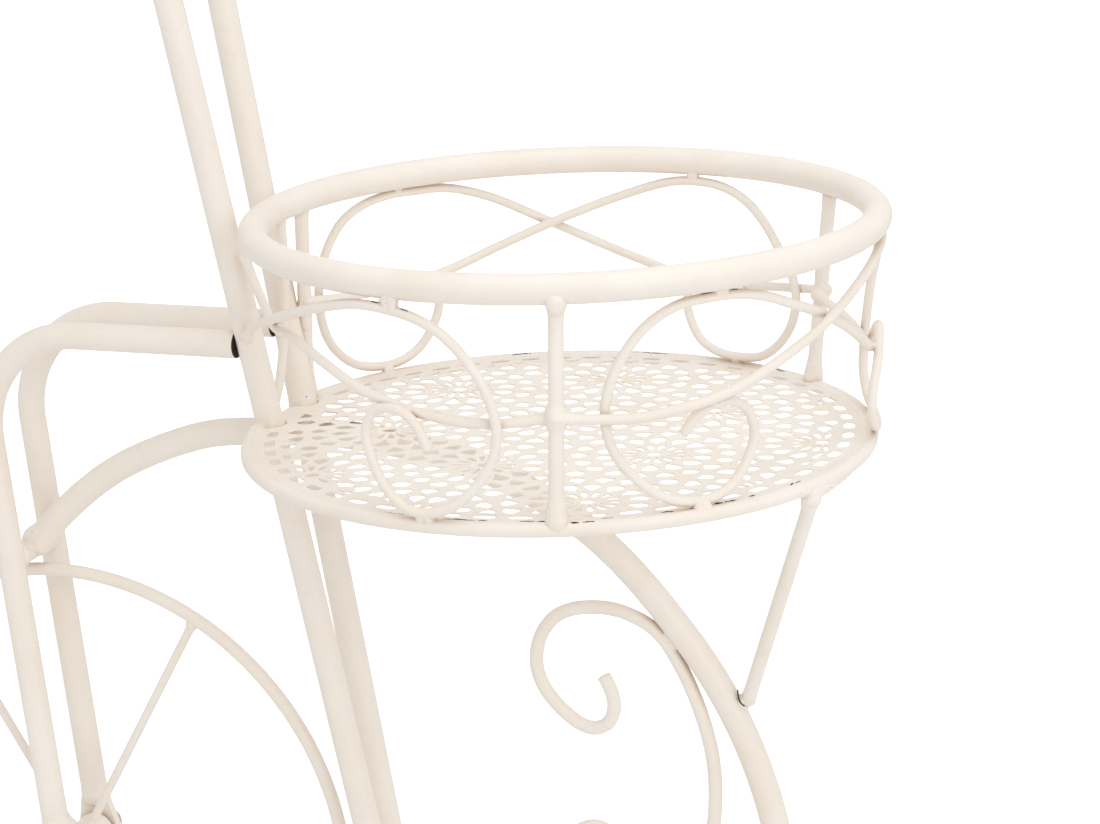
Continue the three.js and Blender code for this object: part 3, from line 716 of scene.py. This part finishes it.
def wire_welds(path, c, past, front, lumps, cracks):
    """A wire's welds at its crest on the rim and its belly on the ring, and dark strips of painted
    shade beside one.
    """
    z = path[:, 2] - c[2]
    crest = int(z[10:].argmax()) + 10
    walked = np.concatenate([[0], np.cumsum(np.linalg.norm(np.diff(path, axis=0), axis=1))])
    crest = int(np.searchsorted(walked, walked[crest] + past))
    top = path[crest]
    under_rim = DEPTH + c[2] - TUBE
    wide = 1.3 if front else 0.6
    along = unit(path[crest + 1] - path[crest - 1]) * wide
    for p in (top - along, top + along):
        lumps.append((p, v(p[0], p[1], under_rim + 1.2), 1.95, 2.5))
    late = np.arange(len(z)) > crest
    belly = int(np.where(late, z, 1e9).argmin())
    low = path[belly]
    flat = (low - c)[:2]
    onto = v(*(flat / np.hypot(*flat) * RING_R), 1.6) + c
    along = unit(path[belly + 1] - path[belly - 1]) * wide
    for step in (-along, along):
        lumps.append((low + step, onto + step * 1.4, 2.1, 2.5))
    # dark strips of painted shade in the tight corners beside the crest's weld
    arc = np.linalg.norm(path - top, axis=1)
    for sign, start, stop in ((-1, 2.6, 6.5 if front else 4.0), (1, 2.8, 7.5 if front else 3.6)):
        side = np.sign(np.arange(len(path)) - crest) == sign
        stretch = path[side & (arc > start + wide) & (arc < stop + wide)]
        if len(stretch) > 2 and rng.random() < (1.0 if front else 0.6):
            out = np.array([unit(v(*(q - c)[:2], 0)) for q in stretch])
            cracks.append(sweep(stretch + v(0, 0, 1.75) + out * 0.5, 0.34, 8))


def seam_and_cracks(name, c, on_mast, cracks):
    """The sheet's edge is bedded in paint on the ring, with dark strips of painted shade in the
    cracks along it.
    """
    n = 200 if on_mast else 180
    stop = 0.0 if on_mast else ring_end(1.0)
    verts = []
    for k in range(n):
        a = round_angle(stop, k / (n if on_mast else n - 1))
        middle = RING_R - 2.2 + 0.15 * math.sin(23 * a + 1) + 0.1 * math.sin(57 * a)
        verts += [c + polar(middle + out, a, z) for out, z in SEAM]
    seam = np.array(verts), skin(n, len(SEAM), on_mast)
    piece(f"{name}_sheet_seam", [seam], BASKET)
    rows = [(0.0, *crack) for crack in (UPPER_CRACKS if on_mast else SEAM_CRACKS)]
    rows += [] if on_mast else [(2.5, *crack) for crack in FOOT_CRACKS]
    for outer, start, end, depth in rows:
        steps = max(4, int((end - start) / 0.3))
        line = []
        for k in range(steps + 1):
            a = math.radians(start + (end - start) * k / steps)
            r = RING_R - 1.55 + outer + 0.24 * math.sin(61 * a + depth * 9)
            r += rng.uniform(-0.3, 0.3)
            line.append(c + polar(r, a, 2.78))
        size = [depth * rng.uniform(0.45, 1.15)
                * (0.4 + 0.6 * math.sin(math.pi * (k + 0.5) / len(line))) for k in range(len(line))]
        cracks.append(sweep(line, size, 8, edge=0.1))
    # the cracks are painted shade, in the near-black material
    piece(f"{name}_cracks", cracks, (gap_shade, "basket_enamel"))


def basket(name, c, uprights, routes, on_mast):
    """Rim, shelf ring, sheet, uprights and wires round c, the shelf ring's middle."""
    lumps = []
    cracks = []
    paths = {}
    rim = ring_points(RIM_R, 180) + c + v(SET_OUT, 0, DEPTH)
    dress(f"{name}_rim", "tube", [sweep(rim, TUBE - 0.14, 28, closed=True)], BASKET)
    if on_mast:
        posts = []
        ring = ring_points(RING_R, 170, 0.1) + c
    else:
        posts = [post_axis(s, SHELF_Z)[:2] for s in (-1, 1)]
        stop = ring_end(0.2)
        ring = np.array([polar(RING_R, round_angle(stop, i / 170), 0) for i in range(171)]) + c
        for end, next_one, s in ((0, 3, -1), (-1, -4, 1)):
            p = ring[end]
            lumps.append((p, p + unit(ring[next_one] - p) * 8, ROD + 0.8, ROD - 0.3))
            for dz in (8, -9):
                lumps.append((post_axis(s, SHELF_Z), post_axis(s, SHELF_Z + dz),
                              TUBE + 0.45, TUBE - 0.2))
    dress(f"{name}_shelf_ring", "rod", [sweep(ring, ROD - INSIDE, closed=on_mast)], BASKET)
    lace(f"{name}_shelf_plate", c, posts)

    for i, (degrees, foot_turn, head_turn, cap) in enumerate(uprights):
        foot = wall(degrees + foot_turn, ROD) + c
        head = wall(degrees + head_turn, DEPTH - TUBE + 0.4) + c
        up = head - foot
        dress(f"{name}_upright_{i + 1}", "rod", [flared(foot, head, ROD - INSIDE)], BASKET)
        lumps.append((foot + up * 0.005, foot + up * 0.16, ROD + 1.5, ROD - 0.4))
        lumps.append((head - up * 0.005, head - up * 0.075, ROD + cap, ROD - 0.4))
        if i == 0:
            face = head + unit(v(*(head - c)[:2], 0)) * 2.6
            lumps.append((face + v(0, 0, 1.2), face + v(0, 0, 0.4), ROD + 1.5, ROD + 1.3))
        for label, direction in (("left", -1), ("right", 1)):
            route = routes[(i, label)]
            path = wire_path(degrees, direction, route, (foot_turn + head_turn) / 2, on_mast) + c
            if route is not NEAR_LEFT:
                walked = np.linalg.norm(path - path[0], axis=1)
                lumps.append((path[0], path[walked > 7][0], ROD + 0.1, WIRE - 0.3))
            paths[(i, label)] = path
            bars = [sweep(path, WIRE, 16, edge=0.5)]
            if route is SWAG_LEFT:
                tail = spline([wall(a, t * DEPTH) + c for a, t in SWAG_LEFT_TAIL], 9)
                bars.append(sweep(tail, WIRE, 16, edge=0.5))
                lumps.append((tail[0], tail[0] + v(0, 0, 2.5), 2.2, 2.8))
                lumps.append((tail[-1], tail[-9], 2.9, 1.7))
                lumps.append((path[-1], path[-6], 2.7, 1.7))
            dress(f"{name}_wire_{i + 1}_{label}", "rod", bars, BASKET)
            past = 0
            if route is NEAR_RIGHT:
                past = PAST_NEAR_RIGHT
            if route is NEAR_LEFT:
                past = PAST_NEAR_LEFT
                lumps.append((path[1], path[1] + v(-1.5, 2.6, -1.0), 2.2, 3.0))
            if route is not SWAG_LEFT:
                front = route in (SWAG_RIGHT, NEAR_RIGHT, NEAR_LEFT)
                wire_welds(path, c, past, front, lumps, cracks)
        knot = foot + up * 0.48
        knob = 1.15 if i == 0 else 0.35
        lumps.append((knot - v(0, 0, 2), knot + v(0, 0, 2), ROD + knob, ROD + knob))
        for dz in (-8, 8):
            lumps.append((knot, knot + v(0, 0, dz), ROD + knob * 0.8, ROD - 0.4))
    # curls and arms that touch another upright's wires are tacked to them
    for (key, one), (other, two) in itertools.combinations(paths.items(), 2):
        if key[0] == other[0]:
            continue
        arm_one, arm_two = one[:len(one) // 3], two[:len(two) // 3]
        curl_one, curl_two = one[len(one) * 3 // 4:], two[len(two) * 3 // 4:]
        for a, b in ((curl_one, arm_two), (curl_two, arm_one), (arm_one, arm_two)):
            p, q, d = nearest(a, b)
            if d < 6.0:
                lumps.append((p, q, 1.9, 1.9))
    welds(f"{name}_welds", lumps, "basket_enamel")
    seam_and_cracks(name, c, on_mast, cracks)


low_c = v(0, 0, SHELF_Z)
top_c = v(post_axis(0, TOP_Z)[0], 0, TOP_Z)
# Each upright: degrees round the ring, the turn of its foot and of its head, its cap's swelling.
LOW_UPRIGHTS = [(18.4, 0.4, -0.6, 1.1), (138.4, 1.7, -2.4, 0.3), (257.6, 0.2, 3.9, 0.4)]
TOP_UPRIGHTS = [(90, 0, 0, 0.9), (210, 0, 0, 0.7), (330, 0, 0, 0.9)]
LOW_ROUTES = {(0, "left"): SWAG_LEFT, (0, "right"): SWAG_RIGHT, (1, "left"): NEAR_RIGHT,
              (1, "right"): FAR_LEFT, (2, "left"): FAR_RIGHT, (2, "right"): NEAR_LEFT}
TOP_ROUTES = dict.fromkeys(itertools.product(range(3), ("left", "right")), COMMON)
basket("lower", low_c, LOW_UPRIGHTS, LOW_ROUTES, False)
basket("upper", top_c, TOP_UPRIGHTS, TOP_ROUTES, True)

# ---- mast, backbone and fork --------------------------------------------------------------------
lumps = []


def joint(at, towards, r, swell=1.5, reach=9.0):
    """A bar's welded end, swollen by swell and fading over reach."""
    lumps.append((at, at + unit(towards - at) * reach, r + swell, r - 0.3))


BEARER_R = 4
BEARER_Z = TOP_Z - ROD - GAP - BEARER_R
SIDES = (("near", -1), ("far", 1))
post_top = BEARER_Z - BEARER_R - GAP - TUBE * LEAN
post_low = SMALL_R - 10
for label, s in SIDES:
    axis = straight(post_axis(s, post_low), post_axis(s, post_top), 60)
    dress(f"post_{label}", "tube", [sweep(axis, TUBE - INSIDE, 28, edge=0.6)], FRAME)
    a, b = post_axis(s, post_low + 0.3), post_axis(s, post_low - GAP - 3)
    down = unit(b - a)
    cap = sweep([a, a + down * 1.4, a + down * 2.6, b], TUBE - INSIDE, 28, edge=1.4)
    dress(f"post_plug_{label}", "cap", [cap], PLUG)
    joint(post_axis(s, post_top), post_axis(s, post_top - 10), TUBE, 1.2, 8)

tie = post_axis(0, SHELF_Z + 235)
tie_y = abs(post_axis(1, tie[2])[1]) - TUBE + 0.3
ends = [tie + v(0, s * tie_y, 0) for s in (-1, 1)]
dress("post_tie", "rod", [sweep(straight(*ends, 12), ROD)], FRAME)
for end in ends:
    joint(end, tie, ROD, 1.6, 7)

RAIL_Z = SHELF_Z + RAIL_RISE
fork_top = v(FORK_TOP_X, 0, RAIL_Z)
axle = v(AXLE_X, 0, WHEEL_R)
fork_down = unit(axle - fork_top)


def behind_fork(p):
    return p[0] - fork_top[0] - fork_down[0] / -fork_down[2] * (fork_top[2] - p[2])


# The backbone runs from the fork's bridge down to the rear axle's sleeve.
BRIDGE_R = TUBE - 1
bridge_deg = 90.0
while behind_fork(arch(bridge_deg)) > 0:
    bridge_deg += 0.05
bridge = arch(bridge_deg)
rear_deg = math.degrees(math.asin((SMALL_R - ARCH_Z) / ARCH_R))
sleeve_x = arch(rear_deg)[0]
from_deg = bridge_deg - math.degrees(5.2 / ARCH_R)
to_deg = rear_deg + math.degrees(8.4 / ARCH_R) + 0.2


def swell(degrees, start, top, fall, stop):
    """A smooth hump that is full between top and fall."""
    up = np.clip((degrees - start) / (top - start), 0, 1)
    down = np.clip((stop - degrees) / (stop - fall), 0, 1)
    return up * up * (3 - 2 * up) * down * down * (3 - 2 * down)


spine = []
for i in range(151):
    a = from_deg + (to_deg - from_deg) * i / 150
    bulge = 3.4 * swell(a, 94, 107, 117, 137) + 2.8 * swell(a, 38, 56, 62, 84)
    spine.append(arch(a) + unit(arch(a) - ARCH_MIDDLE) * bulge)
piece("backbone_bar", [sweep(spine, TUBE - INSIDE, 28)], FRAME, nodes=["backbone_tube"])
joint(spine[0], spine[5], TUBE, 1.4, 9)
joint(spine[-1], spine[-6], TUBE, 1.6, 10)


def bend(first, corner, last, radius):
    """Points along two straights with a bend between them."""
    into, out = unit(corner - first), unit(last - corner)
    turn = math.acos(np.clip(np.dot(into, out), -1, 1)) / 2
    start = corner - into * radius * math.tan(turn)
    middle = corner + unit(out - into) * radius / math.cos(turn)
    arm = start - middle
    axis = unit(np.cross(into, out))
    angles = np.linspace(0, 2 * turn, 17)
    arc = [middle + arm * math.cos(t) + np.cross(axis, arm) * math.sin(t) for t in angles]
    return np.vstack([straight(first, start, 14)[:-1], arc, straight(arc[-1], last, 14)[1:]])


rail_y = abs(post_axis(1, RAIL_Z)[1])
# Half of a leaning post's width, measured level.
half = TUBE * math.hypot(1, LEAN)
mouth_x = post_axis(1, RAIL_Z)[0] - half + 0.2
for label, s in SIDES:
    y = s * rail_y
    mouth = v(mouth_x, y, RAIL_Z)
    path = bend(mouth, fork_top + v(0, y, 0), axle - fork_down * 18 + v(0, y, 0), 45)
    dress(f"fork_rail_{label}", "tube", [sweep(path, TUBE - INSIDE, 28)], FRAME)
    # a dark disc of painted shade inside the rail's open end
    disc = sweep([mouth - v(0.6, 0, 0), mouth + v(0.12, 0, 0)], TUBE - 0.35, 28, edge=0.1)
    piece(f"fork_rail_{label}_mouth", [disc], (gap_shade, "frame_enamel"))
    tack = mouth + v(-1.0, -s * 3.2, 2.0)
    lumps.append((tack, tack + v(-3.0, 0, 0), 2.8, 2.2))
    joint(path[-1] + fork_down, path[-4], TUBE, 0.4, 8)

bridge_y = rail_y - TUBE + 0.3
ends = [bridge + v(0, s * bridge_y, 0) for s in (-1, 1)]
dress("fork_bridge", "rod", [sweep(straight(*ends, 12), BRIDGE_R, 24)], FRAME)
for end in ends:
    joint(end, bridge, BRIDGE_R, 1.2, 6)

# ---- keel, sleeve, strut and scroll -------------------------------------------------------------
keel_r = TUBE - 2 * GAP
keel_a = v(post_axis(0, SMALL_R - keel_r)[0] + half + 0.1, 0, SMALL_R)
keel_b = v(sleeve_x - 8 + 0.2, 0, SMALL_R)
piece("keel_bar", [sweep(straight(keel_a, keel_b, 40), keel_r, 28)], FRAME, nodes=["keel_tube"])
joint(keel_a, keel_b, keel_r, 1.3, 9)
joint(keel_b, keel_a, keel_r, 1.3, 9)
sleeve = v(sleeve_x, 0, SMALL_R)
sleeve_half = v(0, (TRACK - HUB_WIDTH - 2.4) / 2, 0)
sleeve_line = straight(sleeve - sleeve_half, sleeve + sleeve_half, 40)
dress("rear_axle_sleeve", "tube", [sweep(sleeve_line, 8, 32, edge=1.0)], FRAME)

foot_deg, head_deg = 27.6, 68.5
head = wall(head_deg, 0) + v(0, 0, SHELF_Z - 2 * ROD - 0.2)
foot = arch(foot_deg)
outward = unit(foot - ARCH_MIDDLE)
tilt = math.acos(np.dot(unit(head - foot), outward))
foot = foot + outward * (TUBE + 0.3 + ROD * math.sin(tilt))
dress("basket_strut", "rod", [flared(foot, head, ROD - INSIDE)], FRAME)
lumps.append((foot - outward * 2.2, foot + unit(head - foot) * 3.0, ROD + 0.5, ROD - 0.2))
lumps.append((foot - outward * 2.0 + v(-1.6, 0, -2.6), foot + v(-0.5, 0, 0.5), 1.9, 2.2))
joint(head + v(0, 0, 1.2), foot, ROD, 1.2, 8)
# a dark strip of painted shade in the crease beside the strut's foot weld
STRUT_CRACK = [(-3.6, -2.2, 5.2), (-3.3, -2.9, 2.6), (-2.3, -3.4, 0.2), (-0.4, -3.5, -1.3)]
crack = sweep(spline([foot + v(*p) for p in STRUT_CRACK], 6), 0.3, 8, edge=0.1)
piece("basket_strut_crack", [crack], (gap_shade, "frame_enamel"))
# the weld at the strut's head runs on along the ring and thins out
for k in range(7):
    a = head_deg + 2.1 * k
    lumps.append((wall(a, 0) + v(0, 0, SHELF_Z - 2.4), wall(a + 1.2, 0) + v(0, 0, SHELF_Z - 2.0),
                  3.9 - 0.35 * k, 3.6 - 0.35 * k))

# The scroll's upper half, as X and height above the shelf. The lower half is its mirror image.
HALF_SCROLL = [
    (16, -103.8), (18.6, -109.1), (20.2, -115.6), (19.3, -121.3), (16.2, -125.6), (10.9, -127.6),
    (5.2, -126.3), (-1.3, -121.9), (-6.8, -116.5), (-11.4, -109.6), (-13.6, -102.1),
    (-13.1, -93.8), (-10.3, -86.3), (-4.7, -79.4), (2.9, -75.4), (13.5, -73.7), (22.4, -74.2),
    (30.4, -76.6), (37.1, -80.1), (43.3, -86.0), (48.3, -94.0), (53.0, -103.2), (58.9, -119),
    (62.6, -135), (63.6, -150),
]
curl = [v(x, 0, SHELF_Z + z) for x, z in HALF_SCROLL]
curl += [v(x, 0, SHELF_Z - 300 - z) for x, z in HALF_SCROLL[-2::-1]]
curl_path = spline(curl, 8)
dress("backbone_scroll", "rod", [sweep(curl_path, ROD - INSIDE, edge=0.6)], FRAME)
# it is welded to the backbone where the two run side by side
for p in curl_path:
    if SHELF_Z - 89.5 < p[2] < SHELF_Z - 84.5 and p[0] > 30:
        gap = ARCH_R - np.linalg.norm(p - ARCH_MIDDLE)
        lumps.append((p, p + unit(p - ARCH_MIDDLE) * max(2.0, gap - 6), 2.5, 2.8))

# ---- top basket's bearers and braces ------------------------------------------------------------
for label, s in SIDES:
    y = post_axis(s, post_top)[1]
    span = math.sqrt(RING_R ** 2 - y ** 2)
    bearer = v(top_c[0], y, BEARER_Z)
    line = straight(bearer - v(span, 0, 0), bearer + v(span, 0, 0), 40)
    dress(f"bearer_{label}", "rod", [sweep(line, BEARER_R, 22)], FRAME)
    for end in (-1, 1):
        tip = bearer + v(end * (span - 2), 0, 2)
        lumps.append((tip, tip + v(-end * 8, 0, 0), 4.6, 3.4))
    for end, direction in (("front", -1), ("rear", 1)):
        clear = direction * (TUBE + ROD + 0.3)
        a = post_axis(s, BEARER_Z - 62) + v(clear, 0, 0)
        b = v(post_axis(s, BEARER_Z)[0] + direction * 70, y, BEARER_Z - BEARER_R - ROD - 0.2)
        knee = post_axis(s, b[2] - 18) + v(clear + direction * 8, 0, 0)
        dress(f"brace_{label}_{end}", "rod", [sweep(spline([a, knee, b], 16), ROD)], FRAME)
        lumps.append((a, a + v(-direction * 3, 0, 2), ROD + 0.8, ROD + 0.4))
        lumps.append((b, b + v(-direction * 4, 0, 2), ROD + 0.8, ROD + 0.3))
welds("frame_welds", lumps, "frame_enamel")


# ---- wheels -------------------------------------------------------------------------------------
def wheel(name, centre, outer, hub_width, turn):
    """A rim, six spokes and a hub; turn is the first spoke's angle."""
    ring = outer - ROD
    around = [centre + v(ring * math.cos(a), 0, ring * math.sin(a))
              for a in np.linspace(0, 2 * math.pi, 145)[:-1]]
    rim = sweep(around, ROD - 0.03, closed=True)
    dress(f"{name}_rim", "rod", [rim], WHEEL, name)
    w = hub_width / 2
    profile = [(-w, 4.5), (-w, 8.0), (-w + 0.7, 8.8), (-w + 2, 9.0), (-w + 3.4, 8.7), (0, 8.5),
               (w - 3.4, 8.7), (w - 2, 9.0), (w - 0.7, 8.8), (w, 8.0), (w, 4.5)]
    parts = [lathe([(y, [r] * 40) for y, r in profile], centre)]
    beads = []
    for i in range(6):
        a = math.radians(turn + 60 * i)
        d = v(math.cos(a), 0, math.sin(a))
        tip = centre + d * (ring - ROD + 0.3)
        parts.append(sweep(straight(centre + d * 7, tip, 12), WIRE, 16, edge=0.3))
        beads.append((centre + d * 9.2, centre + d * 14, 3.2, 1.8))
        beads.append((tip, tip - d * 5, 3.0, 1.8))
    piece(f"{name}_hub_and_spokes", parts, WHEEL, name, [f"{name}_hub_spokes"])
    welds(f"{name}_welds", beads, "wheel_enamel", name, voxel=0.5)


def nut(node, centre):
    """A hexagon nut with turned corners."""
    n = 72
    flats = 7.5 * math.cos(math.pi / 6)
    angles = [(2 * math.pi * k / n) % (math.pi / 3) - math.pi / 6 for k in range(n)]
    hexed = [flats / math.cos(a) for a in angles]
    turned = [min(r, flats * 1.02) for r in hexed]
    face = [flats * 0.93] * n
    h = 3.0
    rings = [(-h, [5.2] * n), (-h, face), (-h, turned), (-h + 0.8, hexed),
             (h - 0.8, hexed), (h, turned), (h, face), (h - 0.3, [5.0] * n)]
    dress(node, "hex", [lathe(rings, centre)], ZINC)


def axle_rod(node, x, z, half_len):
    """A rod with a rolled thread at each end."""
    thread = 9
    crest, root, shank = 3.95, 3.55, 3.98
    step = 0.45
    pts, rad = [], []
    y = -half_len
    while y < -half_len + thread:
        pts += [v(x, y, z), v(x, y + step, z)]
        rad += [crest, root]
        y += 2 * step
    pts += list(straight(v(x, y, z), v(x, -y, z), 8))
    rad += [shank] * 9
    y = -y
    while y < half_len - 0.5:
        y += step
        pts.append(v(x, min(y, half_len), z))
        rad.append(root if len(pts) % 2 else crest)
    dress(node, "rod", [sweep(pts, rad, 24, edge=0.5)], ZINC)


# The front hub runs between two dropouts, 4 thick, with a nut outside each.
inner = rail_y - 2
outer = rail_y + 2
wheel("front_wheel", axle, WHEEL_R, 2 * (inner - 1.2), 0)
axle_rod("front_axle", axle[0], axle[2], outer + 8)
hub_end = TRACK / 2 + HUB_WIDTH / 2 + 1.2
axle_rod("rear_axle", sleeve_x, SMALL_R, hub_end + 8)
for label, s in SIDES:
    nut(f"front_nut_{label}", axle + v(0, s * (outer + 3 + GAP), 0))
    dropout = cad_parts[f"dropout_{label}"]
    dropout.data.materials.clear()
    dropout.data.materials.append(FRAME[0])
    wheel(f"rear_wheel_{label}", sleeve + v(0, s * TRACK / 2, 0), SMALL_R, HUB_WIDTH, 30)
    nut(f"rear_nut_{label}", sleeve + v(0, s * (hub_end + 3), 0))

# ---- camera -------------------------------------------------------------------------------------
EYE = v(399.6, -1107.9, SHELF_Z + 335.7)
YAW, PITCH_DOWN, ROLL = (math.radians(a) for a in (20, 15.467, 2.089))
camera = bpy.data.cameras.new("camera")
camera.sensor_width = 36
camera.lens = 97.645
level = v(math.cos(YAW), math.sin(YAW), 0)
forward = v(-math.sin(YAW), math.cos(YAW), 0)
ahead = forward * math.cos(PITCH_DOWN) - v(0, 0, math.sin(PITCH_DOWN))
right = level * math.cos(ROLL) - np.cross(level, ahead) * math.sin(ROLL)
pose = np.eye(4)
pose[:3] = np.column_stack([right, np.cross(right, ahead), -ahead, (EYE + v(SHIFT, 0, 0)) / MM])
viewer = put("camera", camera)
viewer.matrix_world = Matrix(pose.tolist())
bpy.context.scene.camera = viewer


# ---- floor, light and backdrop ------------------------------------------------------------------
def seen_and_unseen(tree, seen, unseen, output):
    """The camera's own rays meet one shader and all other rays the other."""
    camera_ray = add(tree, "LightPath", {}).outputs["Is Camera Ray"]
    pick = add(tree, "MixShader", {"Fac": camera_ray, 1: unseen.outputs[0], 2: seen.outputs[0]})
    add(tree, output, {"Surface": pick.outputs[0]})


FLOOR_HALF = 14
FLOOR_Z = -0.0005
corners = [(x * FLOOR_HALF, y * FLOOR_HALF, FLOOR_Z) for x, y in ((-1, -1), (1, -1), (1, 1), (-1, 1))]
floor_mesh = bpy.data.meshes.new("floor")
floor_mesh.from_pydata(corners, [], [(0, 1, 2, 3)])
put("floor", floor_mesh)
floor_paint = bpy.data.materials.new("floor_white")
floor_mesh.materials.append(floor_paint)
floor_paint.use_nodes = True
tree = floor_paint.node_tree
tree.nodes.clear()
lit = add(tree, "BsdfDiffuse", {"Color": rgba((0.88, 0.88, 0.88))})
# to the camera the floor glows, more so further out, where it meets the white backdrop
place = add(tree, "NewGeometry", {}).outputs["Position"]
distance = add(tree, "VectorMath", {0: place}, operation="LENGTH").outputs["Value"]
fade = add(tree, "MapRange", {"Value": distance, "From Min": 0.35, "From Max": 1.1,
                              "To Min": 0.36, "To Max": 0.62})
glow = add(tree, "Emission", {"Color": rgba((1, 1, 1)), "Strength": fade.outputs["Result"]})
both = add(tree, "AddShader", {0: lit.outputs[0], 1: glow.outputs[0]})
seen_and_unseen(tree, both, lit, "OutputMaterial")

world = bpy.data.worlds.new("studio")
bpy.context.scene.world = world
world.use_nodes = True
tree = world.node_tree
tree.nodes.clear()
white = add(tree, "Background", {"Color": rgba((1, 1, 1)), "Strength": 1.0})
soft = add(tree, "Background", {"Color": rgba((1, 1, 1)), "Strength": 0.84})
seen_and_unseen(tree, white, soft, "OutputWorld")


def lamp(name, at, size, watts):
    data = bpy.data.lights.new(name, "AREA")
    data.shape = "DISK"
    data.size = size
    data.energy = watts
    obj = put(name, data)
    obj.location = at
    obj.rotation_mode = "QUATERNION"
    obj.rotation_quaternion = (Vector((0.05, 0, 0.4)) - Vector(at)).to_track_quat("-Z", "Y")


lamp("top_soft", (0.4, -0.3, 2.6), 1.8, 12)
lamp("side_fill", (1.9, -1.7, 1.4), 1.6, 11)
bpy.context.scene.view_settings.view_transform = "Standard"
